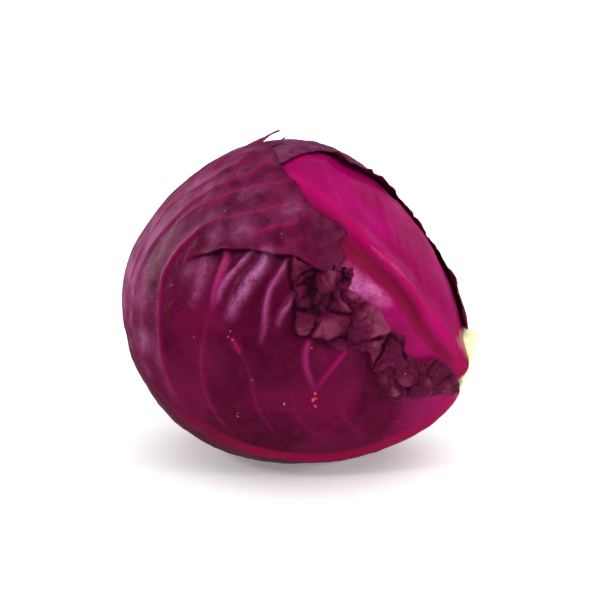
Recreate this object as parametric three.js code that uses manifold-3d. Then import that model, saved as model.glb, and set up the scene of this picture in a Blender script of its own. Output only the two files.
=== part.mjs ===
// A head of red cabbage lying on its side, in millimetres with +Z up. The cut stem points to +X,
// a little down and a little towards -Y, and the crown to -X. The head rests on a small flat spot
// under its middle, at Z = 0, and the origin is under the middle of its length and width.
//
// Every leaf is a thin shell round one shared middle, so a place on the head is a direction: the
// polar angle is measured from the stem, and the azimuth runs about the stem's line from 0 at the
// top, through 90 at the front and 180 underneath, to 270 at the back.
import * as THREE from 'three';
import Module from 'manifold-3d';

// Driving dimensions, in millimetres and degrees.
const STEM_DROP = 16.5; // how far the stem end points below level
const STEM_TURN = 8; // how far the stem end is turned to the front
const MEAN_RADIUS = 77.9;
const LENGTHWISE = [1.2, 3.5, 2.9, 1.3]; // how the radius varies with cos(k polar)
const TOP_TO_BOTTOM = [-1.3, -1.7, -2.0]; // and with sin(k polar) cos(azimuth)

const LEAF_THICKNESS = 1.2;
const LEAF_GAP = 1.2; // air between one leaf and the next
const TUCK = 26; // the width over which the head dips to let a leaf's edge in
const RIB_HEIGHT = 1.8; // how far a midrib stands out at the leaf's foot
const RIB_TIP_HEIGHT = 0.3;
const RIB_WIDTH = 9;

const REST_DEPTH = 1.6; // how much of the round underside the flat spot takes
const STEM_RADIUS = 15.5;
const STEM_CUT = 88.5; // from the head's middle to the cut face
const STEM_ROOT = 69; // and to the end that sits in the packed leaves
const STEM_CLEARANCE = 0.5;

const FOOT = 12; // the polar angle at which the leaves' feet meet the stem

// How finely the surfaces are divided.
const LEAF_SPOKES = 52;
const LEAF_RINGS = 10;
const OUTLINE_STEPS = 260;
const RIB_STEPS = 40;
const HEAD_RINGS = 18;
const HEAD_SPOKES = 32;
const STEM_SIDES = 32;

// The leaves, from the innermost to the outermost. An outline is a closed smooth curve through
// its [polar, azimuth] points, which start and end on the stem; foot is the azimuth range there.
const LEAVES = [
  {
    name: 'leaf_top',
    color: '#b31a72',
    middle: [72, 52],
    outline: [
      [FOOT, 106], [21, 124], [36, 128], [56, 122], [78, 112], [100, 104], [122, 90],
      [134, 60], [130, 20], [116, 352], [98, 338], [78, 330], [58, 326], [38, 328],
      [22, 338], [FOOT, 0], [FOOT, 36], [FOOT, 72],
    ],
    rib: [[12, 66], [28, 61], [49, 56], [70, 48], [87, 40], [110, 26]],
  },
  {
    name: 'leaf_under',
    color: '#7c2450',
    middle: [74, 206],
    outline: [
      [FOOT, 262], [20, 276], [38, 282], [60, 282], [84, 280], [108, 276], [130, 262],
      [142, 216], [134, 166], [112, 138], [88, 130], [64, 130], [42, 134], [24, 142],
      [FOOT, 160], [FOOT, 194], [FOOT, 228],
    ],
    rib: [[12, 204], [34, 206], [60, 207], [88, 206], [118, 208]],
  },
  {
    name: 'leaf_back',
    color: '#5c1b3e',
    middle: [80, 292],
    outline: [
      [FOOT, 356], [15, 24], [24, 8], [35, 0], [50, 354], [64, 356], [76, 6], [85, 12],
      [92, 12], [99, 15], [107, 24], [124, 28], [142, 0], [150, 300], [142, 246],
      [122, 224], [98, 214], [74, 212], [52, 214], [33, 222], [18, 232], [FOOT, 252],
      [FOOT, 287], [FOOT, 322],
    ],
    rib: [[12, 296], [36, 294], [62, 291], [90, 289], [122, 292]],
  },
  {
    name: 'leaf_front',
    color: '#70204a',
    middle: [100, 138],
    outline: [
      [FOOT, 142], [FOOT, 112], [17, 94], [25, 82], [36, 80], [51, 71], [64, 66], [71, 58],
      [76, 46], [89, 41], [97, 36], [105, 28], [111, 15], [119, 0], [132, 344], [146, 316],
      [147, 276], [134, 252], [116, 240], [96, 234], [76, 226], [56, 216], [38, 206],
      [22, 194], [FOOT, 172],
    ],
    rib: [[12, 138], [34, 140], [55, 144], [76, 142], [98, 137], [120, 133], [147, 133]],
  },
];

const HEAD_COLOR = '#8a1f5c';
const STEM_COLOR = '#e6e6b4';

const radians = THREE.MathUtils.degToRad;

// The head's own axes: along the stem, up across it, and out to the front.
const stemAxis = new THREE.Vector3(
  Math.cos(radians(STEM_DROP)) * Math.cos(radians(STEM_TURN)),
  -Math.cos(radians(STEM_DROP)) * Math.sin(radians(STEM_TURN)),
  -Math.sin(radians(STEM_DROP)),
);
const frontAxis = new THREE.Vector3(0, -1, 0);
frontAxis.addScaledVector(stemAxis, -frontAxis.dot(stemAxis)).normalize();
const upAxis = new THREE.Vector3().crossVectors(frontAxis, stemAxis);

function direction(polar, azimuth) {
  const across = Math.sin(radians(polar));
  return new THREE.Vector3()
    .addScaledVector(stemAxis, Math.cos(radians(polar)))
    .addScaledVector(upAxis, across * Math.cos(radians(azimuth)))
    .addScaledVector(frontAxis, across * Math.sin(radians(azimuth)));
}

// The radius of the whole head, over its outermost leaves, in a direction.
function headRadius(way) {
  const polar = Math.acos(THREE.MathUtils.clamp(way.dot(stemAxis), -1, 1));
  const azimuth = Math.atan2(way.dot(frontAxis), way.dot(upAxis));
  let radius = MEAN_RADIUS;
  LENGTHWISE.forEach((amount, k) => {
    radius += amount * Math.cos((k + 1) * polar);
  });
  TOP_TO_BOTTOM.forEach((amount, k) => {
    radius += amount * Math.sin((k + 1) * polar) * Math.cos(azimuth);
  });
  return radius;
}

// Directions spaced evenly along a smooth curve through a list of places on the head.
function trace(places, closed, steps) {
  const points = places.map(([polar, azimuth]) => direction(polar, azimuth));
  const curve = new THREE.CatmullRomCurve3(points, closed, 'centripetal');
  return curve.getSpacedPoints(steps).map((point) => point.normalize());
}

// How far a direction is from the nearest one in a list, measured on the head, and which it is.
function nearest(way, ways) {
  let best = -2;
  let index = 0;
  ways.forEach((other, i) => {
    const closeness = way.dot(other);
    if (closeness > best) {
      best = closeness;
      index = i;
    }
  });
  return { distance: MEAN_RADIUS * Math.acos(Math.min(1, best)), index };
}

// A leaf ready for use: its middle, its edge as directions, and the edge's angle round the middle.
function prepare(leaf) {
  const middle = direction(...leaf.middle);
  const right = new THREE.Vector3().crossVectors(middle, stemAxis).normalize();
  const ahead = new THREE.Vector3().crossVectors(middle, right);
  const bearing = (way) => Math.atan2(way.dot(ahead), way.dot(right));
  const edge = trace(leaf.outline, true, OUTLINE_STEPS).slice(0, OUTLINE_STEPS);
  const turning = edge.map((way, i) => {
    const turn = bearing(edge[(i + 1) % edge.length]) - bearing(way);
    return Math.atan2(Math.sin(turn), Math.cos(turn));
  });
  if (turning.reduce((sum, turn) => sum + turn, 0) < 0) edge.reverse();
  const bearings = edge.map(bearing);
  return { ...leaf, middle, edge, bearing, bearings, ribWays: trace(leaf.rib, false, RIB_STEPS) };
}

// Whether a direction is inside a leaf's edge, which goes once round the leaf's middle.
function inside(leaf, way) {
  const here = leaf.bearing(way);
  let side = 0;
  let gap = Infinity;
  leaf.bearings.forEach((bearing, i) => {
    const turn = Math.abs(Math.atan2(Math.sin(bearing - here), Math.cos(bearing - here)));
    if (turn < gap) {
      gap = turn;
      side = i;
    }
  });
  return way.angleTo(leaf.middle) < leaf.edge[side].angleTo(leaf.middle);
}

// 1 under a leaf, easing to 0 at the tuck's width beyond its edge.
function cover(leaf, way) {
  if (inside(leaf, way)) return 1;
  return 1 - THREE.MathUtils.smootherstep(nearest(way, leaf.edge).distance, 0, TUCK);
}

function ribHeight(leaf, way) {
  const { distance, index } = nearest(way, leaf.ribWays);
  const height = THREE.MathUtils.lerp(RIB_HEIGHT, RIB_TIP_HEIGHT, index / RIB_STEPS);
  return height * Math.exp(-((distance / RIB_WIDTH) ** 2));
}

const leaves = LEAVES.map(prepare);
const floorDepth = lowestReach() - REST_DEPTH;

// How far the head reaches down from its middle.
function lowestReach() {
  let reach = 0;
  for (let polar = 60; polar <= 150; polar += 1) {
    for (let azimuth = 140; azimuth <= 220; azimuth += 1) {
      const way = direction(polar, azimuth);
      reach = Math.max(reach, -way.z * (headRadius(way) + ribHeight(leaves[3], way)));
    }
  }
  return reach;
}

// The radii of all the layers in a direction: the packed head's, then each leaf's inner and
// outer. The packed head dips by as much as the leaves over it need, and where the outermost leaf
// would go through the floor all of them move in, apart from its outside, which is cut flat.
function layers(way) {
  const covers = leaves.map((leaf) => cover(leaf, way));
  const ribs = leaves.map((leaf) => ribHeight(leaf, way));
  const head = headRadius(way) - (LEAF_THICKNESS + LEAF_GAP) * covers.reduce((a, b) => a + b, 0);
  let bed = head;
  const shells = leaves.map((leaf, i) => {
    const inner = bed + LEAF_GAP;
    const outer = inner + LEAF_THICKNESS + ribs[i];
    bed += (LEAF_GAP + LEAF_THICKNESS + ribs[i]) * covers[i];
    return { inner, outer };
  });
  const press = way.z < -0.5 ? Math.max(0, bed - floorDepth / -way.z) : 0;
  shells.forEach((shell, i) => {
    shell.inner -= press;
    if (i < shells.length - 1) shell.outer -= press;
  });
  return { head: head - press, shells };
}

function geometryOf(points, faces) {
  const geometry = new THREE.BufferGeometry();
  geometry.setAttribute('position', new THREE.Float32BufferAttribute(points.flat(), 3));
  geometry.setIndex(faces.flat());
  return geometry;
}

const at = (way, radius) => way.clone().multiplyScalar(radius).toArray();

// A leaf as a closed shell: an outer sheet and an inner one, each of rings round the leaf's
// middle, joined along its edge.
function leafGeometry(leaf, number) {
  const ways = [leaf.middle.clone()];
  for (let ring = 1; ring <= LEAF_RINGS; ring += 1) {
    for (let spoke = 0; spoke < LEAF_SPOKES; spoke += 1) {
      const end = leaf.edge[Math.round((spoke * OUTLINE_STEPS) / LEAF_SPOKES) % OUTLINE_STEPS];
      const turn = new THREE.Quaternion().setFromUnitVectors(leaf.middle, end);
      const part = new THREE.Quaternion().slerp(turn, ring / LEAF_RINGS);
      ways.push(leaf.middle.clone().applyQuaternion(part));
    }
  }
  const radii = ways.map((way) => layers(way).shells[number]);
  const points = [
    ...ways.map((way, i) => at(way, radii[i].outer)),
    ...ways.map((way, i) => at(way, radii[i].inner)),
  ];
  const index = (ring, spoke) =>
    ring === 0 ? 0 : 1 + (ring - 1) * LEAF_SPOKES + (spoke % LEAF_SPOKES);
  const faces = [];
  const sheet = ways.length;
  for (let spoke = 0; spoke < LEAF_SPOKES; spoke += 1) {
    for (let ring = 0; ring < LEAF_RINGS; ring += 1) {
      const corners = [index(ring, spoke), index(ring + 1, spoke), index(ring + 1, spoke + 1)];
      faces.push(corners, corners.map((corner) => corner + sheet).reverse());
      if (ring > 0) {
        const others = [index(ring, spoke), index(ring + 1, spoke + 1), index(ring, spoke + 1)];
        faces.push(others, others.map((corner) => corner + sheet).reverse());
      }
    }
    const [near, far] = [index(LEAF_RINGS, spoke), index(LEAF_RINGS, spoke + 1)];
    faces.push([near, near + sheet, far + sheet], [near, far + sheet, far]);
  }
  return geometryOf(points, faces);
}

// The packed head of inner leaves, as one closed round body.
function headGeometry() {
  const points = [];
  const faces = [];
  const ring = (row) => 1 + (row - 1) * HEAD_SPOKES;
  const last = 1 + (HEAD_RINGS - 1) * HEAD_SPOKES;
  const place = (polar, azimuth) => {
    const way = direction(polar, azimuth);
    points.push(at(way, layers(way).head));
  };
  place(0, 0);
  for (let row = 1; row < HEAD_RINGS; row += 1) {
    for (let spoke = 0; spoke < HEAD_SPOKES; spoke += 1) {
      place((180 * row) / HEAD_RINGS, (360 * spoke) / HEAD_SPOKES);
    }
  }
  place(180, 0);
  for (let spoke = 0; spoke < HEAD_SPOKES; spoke += 1) {
    const next = (spoke + 1) % HEAD_SPOKES;
    faces.push([0, ring(1) + spoke, ring(1) + next]);
    for (let row = 1; row < HEAD_RINGS - 1; row += 1) {
      const [a, b] = [ring(row) + spoke, ring(row) + next];
      const [c, d] = [ring(row + 1) + next, ring(row + 1) + spoke];
      faces.push([a, c, b], [a, d, c]);
    }
    faces.push([last, ring(HEAD_RINGS - 1) + next, ring(HEAD_RINGS - 1) + spoke]);
  }
  return geometryOf(points, faces);
}

// The cut stem, turned about its own line: narrower inside the head, with a broken edge and a
// cut face a little hollow in the middle. Grown by a clearance, it is the pocket that it sits in.
function stemGeometry(clearance) {
  const profile = [
    [0, STEM_ROOT - clearance],
    [STEM_RADIUS - 3 + clearance, STEM_ROOT - clearance],
    [STEM_RADIUS - 0.6 + clearance, STEM_ROOT + 8],
    [STEM_RADIUS + clearance, STEM_CUT - 4],
    [STEM_RADIUS - 0.2 + clearance, STEM_CUT - 1 + clearance],
    [STEM_RADIUS - 1.4, STEM_CUT + clearance],
    [STEM_RADIUS * 0.5, STEM_CUT - 0.3 + clearance],
    [0, STEM_CUT - 1.2 + clearance],
  ].map(([radius, height]) => new THREE.Vector2(radius, height));
  const geometry = new THREE.LatheGeometry(profile, STEM_SIDES);
  const turn = new THREE.Quaternion().setFromUnitVectors(new THREE.Vector3(0, 1, 0), stemAxis);
  return geometry.applyQuaternion(turn);
}

const wasm = await Module();
wasm.setup();

// A closed mesh as a solid, with the points that share a place joined first.
function solidOf(geometry) {
  const positions = geometry.getAttribute('position');
  const faces = geometry.index.array;
  const places = new Map();
  const points = [];
  const joined = [];
  for (let i = 0; i < positions.count; i += 1) {
    const point = [positions.getX(i), positions.getY(i), positions.getZ(i)];
    const key = point.map((value) => Math.round(value * 1e4)).join();
    if (!places.has(key)) {
      places.set(key, places.size);
      points.push(...point);
    }
    joined.push(places.get(key));
  }
  const corners = [];
  for (let i = 0; i < faces.length; i += 3) {
    const [a, b, c] = [joined[faces[i]], joined[faces[i + 1]], joined[faces[i + 2]]];
    if (a !== b && b !== c && c !== a) corners.push(a, b, c);
  }
  const mesh = new wasm.Mesh({
    numProp: 3,
    vertProperties: new Float32Array(points),
    triVerts: new Uint32Array(corners),
  });
  return new wasm.Manifold(mesh);
}

function geometryFrom(solid) {
  const mesh = solid.getMesh();
  const geometry = new THREE.BufferGeometry();
  geometry.setAttribute('position', new THREE.BufferAttribute(mesh.vertProperties, 3));
  geometry.setIndex(new THREE.BufferAttribute(mesh.triVerts, 1));
  return geometry;
}

// The ground under the flat spot, as a slab to cut with.
function groundSolid() {
  const side = 4 * MEAN_RADIUS;
  const slab = new THREE.BoxGeometry(side, side, side);
  slab.translate(0, 0, -floorDepth - side / 2);
  return solidOf(slab);
}

function meshOf(name, geometry, color, roughness) {
  const material = new THREE.MeshStandardMaterial({ color, roughness, metalness: 0 });
  const mesh = new THREE.Mesh(geometry, material);
  mesh.name = name;
  return mesh;
}

const cabbage = new THREE.Group();
cabbage.name = 'red_cabbage_head';

const pocket = solidOf(stemGeometry(STEM_CLEARANCE));
const packedHead = solidOf(headGeometry()).subtract(pocket);
cabbage.add(meshOf('inner_head', geometryFrom(packedHead), HEAD_COLOR, 0.5));
cabbage.add(meshOf('stem', geometryFrom(solidOf(stemGeometry(0))), STEM_COLOR, 0.7));
leaves.forEach((leaf, i) => {
  const flattened = solidOf(leafGeometry(leaf, i)).subtract(groundSolid());
  cabbage.add(meshOf(leaf.name, geometryFrom(flattened), leaf.color, 0.4));
});

// The origin goes under the middle of the whole head, on the flat spot's level.
const bounds = new THREE.Box3().setFromObject(cabbage);
const centre = bounds.getCenter(new THREE.Vector3());
cabbage.position.set(-centre.x, -centre.y, -bounds.min.z);

export default cabbage;
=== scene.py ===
"""A head of red cabbage on its side, with veined wrapper leaves, on a pale floor.

Every leaf is a thin shell round one shared middle, so a place on the head is a direction: the
polar angle is measured from the stem, and the azimuth runs about the stem's line from 0 at the
top, through 90 at the front and 180 underneath, to 270 at the back. Shapes are worked out in
millimetres from the head's middle, and become metres in the model's frame when a mesh is made.
"""

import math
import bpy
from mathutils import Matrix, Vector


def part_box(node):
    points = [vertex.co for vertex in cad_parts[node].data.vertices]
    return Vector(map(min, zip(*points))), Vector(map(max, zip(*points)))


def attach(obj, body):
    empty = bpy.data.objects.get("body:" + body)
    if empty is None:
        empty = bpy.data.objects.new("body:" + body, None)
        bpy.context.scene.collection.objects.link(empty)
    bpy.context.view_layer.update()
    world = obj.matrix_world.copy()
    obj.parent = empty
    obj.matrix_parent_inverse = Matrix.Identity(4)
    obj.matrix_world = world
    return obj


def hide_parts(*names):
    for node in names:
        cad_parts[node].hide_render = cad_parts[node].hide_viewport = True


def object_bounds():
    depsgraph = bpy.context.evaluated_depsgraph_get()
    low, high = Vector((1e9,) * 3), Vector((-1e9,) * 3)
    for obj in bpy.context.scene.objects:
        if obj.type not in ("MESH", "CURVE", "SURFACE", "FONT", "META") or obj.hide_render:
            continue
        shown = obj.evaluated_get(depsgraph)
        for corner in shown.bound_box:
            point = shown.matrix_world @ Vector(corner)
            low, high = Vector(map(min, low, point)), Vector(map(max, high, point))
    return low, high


bl_info = {
    "name": "Red Cabbage Head",
    "version": (1, 0, 0),
    "blender": (4, 5, 0),
    "location": "3D View > Sidebar > Cabbage",
    "description": "Builds a head of red cabbage with loose wrapper leaves, and a pale studio for it",
    "category": "Object",
}

import bpy
import numpy as np
from mathutils import Vector
from mathutils.geometry import delaunay_2d_cdt

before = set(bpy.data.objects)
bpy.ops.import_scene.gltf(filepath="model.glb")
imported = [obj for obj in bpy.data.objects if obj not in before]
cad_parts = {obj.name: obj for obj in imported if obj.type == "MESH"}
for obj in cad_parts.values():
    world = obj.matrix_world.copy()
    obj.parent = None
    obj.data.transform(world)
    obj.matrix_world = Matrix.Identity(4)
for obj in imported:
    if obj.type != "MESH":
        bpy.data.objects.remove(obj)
cad_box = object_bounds()

MM = 0.001

# ---------------------------------------------------------------- the head's form

STEM_DROP = math.radians(16.5)
STEM_TURN = math.radians(8)
MEAN_RADIUS = 77.9
LENGTHWISE = (1.2, 3.5, 2.9, 1.3)
TOP_TO_BOTTOM = (-1.3, -1.7, -2.0)
STEM_RADIUS = 15.5
STEM_CUT = 88.5
STEM_ROOT = 69
FOOT = 11.3


def unit(vectors):
    return vectors / np.linalg.norm(vectors, axis=-1, keepdims=True)


STEM_AXIS = np.array(
    (
        math.cos(STEM_DROP) * math.cos(STEM_TURN),
        -math.cos(STEM_DROP) * math.sin(STEM_TURN),
        -math.sin(STEM_DROP),
    )
)
FRONT_AXIS = unit(np.array((0, -1, 0)) + STEM_AXIS[1] * STEM_AXIS)
UP_AXIS = np.cross(FRONT_AXIS, STEM_AXIS)


def direction(polar, azimuth):
    """Directions from the head's middle, for angles in degrees."""
    polar = np.radians(np.asarray(polar, float))[..., None]
    azimuth = np.radians(np.asarray(azimuth, float))[..., None]
    round_about = np.cos(azimuth) * UP_AXIS + np.sin(azimuth) * FRONT_AXIS
    return np.cos(polar) * STEM_AXIS + np.sin(polar) * round_about


def from_stem(ways):
    """The polar angles of directions, in degrees."""
    return np.degrees(np.arccos(np.clip(ways @ STEM_AXIS, -1, 1)))


def head_radius(ways):
    """The radius over the outermost leaves."""
    polar = np.arccos(np.clip(ways @ STEM_AXIS, -1, 1))
    azimuth = np.arctan2(ways @ FRONT_AXIS, ways @ UP_AXIS)
    radius = np.full(len(ways), MEAN_RADIUS)
    for k, amount in enumerate(LENGTHWISE, 1):
        radius += amount * np.cos(k * polar)
    for k, amount in enumerate(TOP_TO_BOTTOM, 1):
        radius += amount * np.sin(k * polar) * np.cos(azimuth)
    return radius


def head_middle():
    """The head's middle in the model's frame, in millimetres: found from where the stem is."""
    low, high = (np.array(corner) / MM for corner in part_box("stem"))
    profile = (
        (STEM_RADIUS - 3, STEM_ROOT),
        (STEM_RADIUS, STEM_CUT - 4),
        (STEM_RADIUS - 0.2, STEM_CUT - 1),
    )
    spread = np.sqrt(1 - STEM_AXIS**2)
    highest = np.max([height * STEM_AXIS + radius * spread for radius, height in profile], axis=0)
    lowest = np.min([height * STEM_AXIS - radius * spread for radius, height in profile], axis=0)
    return ((low + high) - (highest + lowest)) / 2


MIDDLE = head_middle()
FLOOR_DEPTH = MIDDLE[2]

# ---------------------------------------------------------------- small tools

CHUNK = 4000


def ease(value, start, end):
    """0 up to start, 1 from end, and smooth between."""
    part = np.clip((value - start) / (end - start), 0, 1)
    return part * part * part * (part * (part * 6 - 15) + 10)


def bump(distance, width):
    return np.exp(-((distance / width) ** 2))


GRADIENTS = unit(np.random.default_rng(11).normal(size=(256, 3)))
HASH = np.array((73856093, 19349663, 83492791))


def noise(points, size, seed=0):
    """Smooth noise between about -1 and 1, whose features are about size across."""
    spots = points / size + 17.31 * seed
    cells = np.floor(spots).astype(np.int64)
    parts = spots - cells
    eased = parts**3 * (parts * (parts * 6 - 15) + 10)
    total = np.zeros(len(points))
    for corner in np.ndindex(2, 2, 2):
        key = (cells + corner) @ HASH
        key = (key ^ (key >> 13)) * 1274126177
        key = (key ^ (key >> 16)) & 255
        weight = np.prod(np.where(np.array(corner) == 1, eased, 1 - eased), axis=1)
        total += weight * (GRADIENTS[key] * (parts - corner)).sum(axis=1)
    return 1.7 * total


def fractal(points, size, octaves, seed=0):
    return sum(noise(points, size / 2**k, seed + k) / 2**k for k in range(octaves))


def creases(points, size, octaves, seed=0):
    """Noise with sharp ridges, from 0 to about 1."""
    layers = ((1 - np.abs(noise(points, size / 2**k, seed + k))) / 2**k for k in range(octaves))
    return sum(layers) / sum(0.5**k for k in range(octaves))


def between(time, first, second, start, end):
    """What first, at the time start, has become on its way to second, at the time end."""
    return ((end - time) * first + (time - start) * second) / (end - start)


def smooth_path(places, closed=False, step=0.8):
    """Directions evenly spaced, step millimetres apart, on a smooth curve through places."""
    knots = direction(*np.array(places, float).T)
    if closed:
        knots = np.concatenate((knots[-1:], knots, knots[:2]))
    else:
        knots = np.concatenate((2 * knots[:1] - knots[1:2], knots, 2 * knots[-1:] - knots[-2:-1]))
    curve = []
    for i in range(1, len(knots) - 2):
        points = knots[i - 1 : i + 3]
        gaps = np.linalg.norm(np.diff(points, axis=0), axis=1)
        marks = np.concatenate(((0,), np.cumsum(gaps**0.5)))
        time = np.linspace(marks[1], marks[2], 40, endpoint=False)[:, None]
        lines = [between(time, points[k], points[k + 1], marks[k], marks[k + 1]) for k in range(3)]
        bends = [between(time, lines[k], lines[k + 1], marks[k], marks[k + 2]) for k in range(2)]
        curve.append(between(time, bends[0], bends[1], marks[1], marks[2]))
    curve = unit(np.concatenate(curve + [knots[-2:-1]]))
    gaps = np.linalg.norm(np.diff(curve, axis=0), axis=1)
    length = np.concatenate(((0,), np.cumsum(gaps))) * MEAN_RADIUS
    count = max(2, round(length[-1] / step) + 1)
    even = np.linspace(0, length[-1], count)
    spaced = unit(np.stack([np.interp(even, length, curve[:, k]) for k in range(3)], axis=1))
    return spaced[:-1] if closed else spaced


def beside(ways, path, closed=False):
    """How far directions are from a path in millimetres, more than 0 on its left seen from
    outside, and how far along it the nearest place is, from 0 to 1."""
    parts = np.array_split(ways, len(ways) // CHUNK + 1)
    nearest = np.concatenate([np.argmax(part @ path.T, axis=1) for part in parts])
    if closed:
        tangents = np.roll(path, -1, axis=0) - np.roll(path, 1, axis=0)
    else:
        tangents = np.gradient(path, axis=0)
    tangents = unit(tangents - path * (tangents * path).sum(axis=1, keepdims=True))
    lefts = np.cross(path, tangents)
    across = (ways * lefts[nearest]).sum(axis=1)
    along = (ways * tangents[nearest]).sum(axis=1)
    apart = np.arccos(np.clip((ways * path[nearest]).sum(axis=1), -1, 1))
    before = (nearest == 0) & (along < 0)
    after = (nearest == len(path) - 1) & (along > 0)
    past_end = (before | after) & (not closed)
    sideways = np.abs(np.arcsin(np.clip(across, -1, 1)))
    size = np.where(past_end | (np.abs(across) > 0.25), apart, sideways)
    return np.where(across < 0, -1, 1) * size * MEAN_RADIUS, nearest / (len(path) - 1)


# ---------------------------------------------------------------- the leaves

# In millimetres: from one leaf to the next, how far out from a leaf's edge the leaf over it comes
# down, how far a leaf may sink into the gap under it, how much more than that a wilted part
# stands off, and the width of the tear's mouth on each side.
LAYER_PITCH = 1.3
TUCK = 13
SINK = 0.45
WILT_LIFT = 1.6
TEAR_OPENING = 0.25

# Each leaf's outline is a closed smooth curve through (polar, azimuth) places, which starts and
# ends on the stem and goes round middle. rib is its midrib's line, and stations are the degrees
# from the stem where side veins leave it. sweep is how much further from the stem a side vein
# gets for each degree it goes out, near the stem and at the crown.
LEAVES = {
    "leaf_top": dict(
        middle=(72, 52),
        outline=[
            (FOOT, 106), (21, 124), (36, 128), (56, 122), (78, 112), (100, 104), (122, 90),
            (134, 60), (130, 20), (116, 352), (98, 338), (78, 330), (58, 326), (38, 328),
            (22, 338), (FOOT, 0), (FOOT, 36), (FOOT, 72),
        ],
        rib=[
            (FOOT, 84), (17, 78), (22.5, 69), (29, 61), (38, 55.5), (43, 52.5), (52, 48), (60, 45),
            (71, 42), (88, 36), (110, 26),
        ],
        stations=[24, 36, 49, 60, 72, 83, 94, 106, 118],
        sweep=(0.55, 0.75),
        seed=3,
    ),
    "leaf_under": dict(
        middle=(74, 206),
        outline=[
            (FOOT, 262), (20, 276), (38, 282), (60, 282), (84, 280), (108, 276), (130, 262),
            (142, 216), (134, 166), (112, 138), (88, 130), (64, 130), (42, 134), (24, 142),
            (FOOT, 160), (FOOT, 194), (FOOT, 228),
        ],
        rib=[(FOOT, 204), (34, 206), (60, 207), (88, 206), (118, 208)],
        stations=[22, 33, 45, 57, 68, 80, 92, 104, 116, 128],
        sweep=(0.5, 0.9),
        seed=5,
    ),
    "leaf_back": dict(
        middle=(80, 292),
        outline=[
            (FOOT, 356), (14, 26), (23, 16), (31, 2), (40, 347), (54, 343), (66, 352), (76, 6), (85, 12),
            (92, 8), (99, 14), (107, 24), (124, 28), (142, 0), (150, 300), (142, 246),
            (122, 224), (98, 214), (74, 212), (52, 214), (33, 222), (18, 232), (FOOT, 252),
            (FOOT, 287), (FOOT, 322),
        ],
        rib=[(FOOT, 296), (36, 294), (62, 291), (90, 289), (122, 292), (143, 293)],
        stations=[20, 31, 42, 53, 65, 76, 88, 99, 111, 122, 134, 146],
        sweep=(0.4, 1.0),
        seed=7,
    ),
    "leaf_front": dict(
        middle=(100, 138),
        outline=[
            (FOOT, 142), (FOOT, 118), (15, 100), (23, 82), (28, 79), (36, 80.5), (41.5, 78), (43, 73),
            (51, 70.5), (56, 68), (60, 66.5), (66, 66.5), (70, 64), (69, 59), (72, 55), (76, 56),
            (74, 53), (78, 49), (76, 45), (80, 43), (89, 41.5), (93, 39), (97, 34.5), (102, 31),
            (107, 22), (111.5, 10), (119, 0), (132, 344), (146, 316),
            (147, 276), (134, 252), (116, 240), (96, 234), (76, 226), (56, 216), (38, 206),
            (22, 194), (FOOT, 172),
        ],
        rib=[
            (FOOT, 139), (27, 139), (41, 141), (55, 145), (69, 143), (83, 140), (98, 137), (110, 135),
            (121, 133), (133, 132), (147, 134), (164, 138),
        ],
        stations=[22, 33, 45, 56, 67.5, 79, 90, 99, 110, 121, 133, 146, 160, 174, 190],
        sweep=(0.3, 1.2),
        seed=2,
    ),
}
ORDER = tuple(LEAVES)

# Each midrib's height at its foot, and its half width.
RIBS = {
    "leaf_top": (4.6, 7.0),
    "leaf_under": (2.2, 6),
    "leaf_back": (2.4, 5.5),
    "leaf_front": (2.6, 6),
}

# The polar angles between which the side veins' sweep goes from its first value to its last.
FAN = (75, 133)

# The front leaf's own features, from the stem's side to the crown's.
TEAR = [(125, 71.5), (121, 68), (112, 63.5), (100, 61), (89, 59.5), (80, 60), (75, 58)]
TORN = [(74, 54), (78, 49), (76, 45), (80, 43), (89, 41.5), (97, 34.5), (107, 22), (111.5, 10), (119, 0)]
WILTED_INSIDE = [
    (93, 59), (89, 66), (85, 74), (82, 83), (77, 83), (67, 84.5), (60, 83), (54, 85), (51, 92),
    (45, 102), (41, 106), (35, 104), (22, 110), (12, 128),
]
BACK_DRY = [(14, 26), (23, 16), (31, 2), (40, 347), (54, 343), (66, 352), (76, 6), (85, 12), (90, 10)]

# A vein's places, its height and half width in millimetres, and how pale its line is.
FRONT_VEINS = (
    ([(114, 128), (124, 113), (130, 97), (133.5, 81), (132.5, 74), (128, 63), (121, 55), (110.5, 50.5),
      (101, 46), (94, 42)], 0.9, 1.2, 1.3),
    ([(131, 126), (141, 118), (146.5, 99), (148, 86), (147, 73), (144, 63), (137, 51), (129, 41),
      (114, 31.5), (109, 21)], 1.0, 1.4, 0.9),
    ([(96, 128), (104.5, 116), (109, 104), (110.5, 92), (111, 85)], 0.6, 1.4, 0.55),
    ([(80, 124), (87.5, 113), (92.5, 102), (97, 95), (99.5, 89)], 0.45, 1.3, 0.4),
    ([(140, 129), (150, 116), (154, 98), (154.5, 75), (150, 52), (144, 38), (134, 34), (121, 24),
      (116, 12)], 1.0, 1.3, 0.8),
    ([(150, 132), (163, 118), (168, 80), (160, 45), (151, 31), (139, 22), (128, 14), (120, 4)],
     1.0, 1.3, 0.75),
    ([(101.5, 34.5), (108, 37.5), (113, 39.5), (120, 43), (129, 48), (138, 58)], 0.35, 0.9, 0.9),
    ([(93.5, 49), (99.5, 52.5), (105.5, 56), (109, 60)], 0.45, 0.9, 1.1),
    ([(109.5, 22), (113, 31), (117, 34), (124, 37)], 0.4, 0.9, 0.8),
    ([(100.6, 92.2), (99, 93.8), (97, 95.8)], 0.15, 0.6, 1.6),
    ([(62, 128), (68, 122), (74, 114), (78, 104)], 0.3, 1.3, 0.25),
    ([(46, 130), (52, 122), (58, 113), (61, 104)], 0.3, 1.3, 0.25),
    ([(30, 132), (36, 124), (44, 114)], 0.3, 1.3, 0.25),
)
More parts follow.
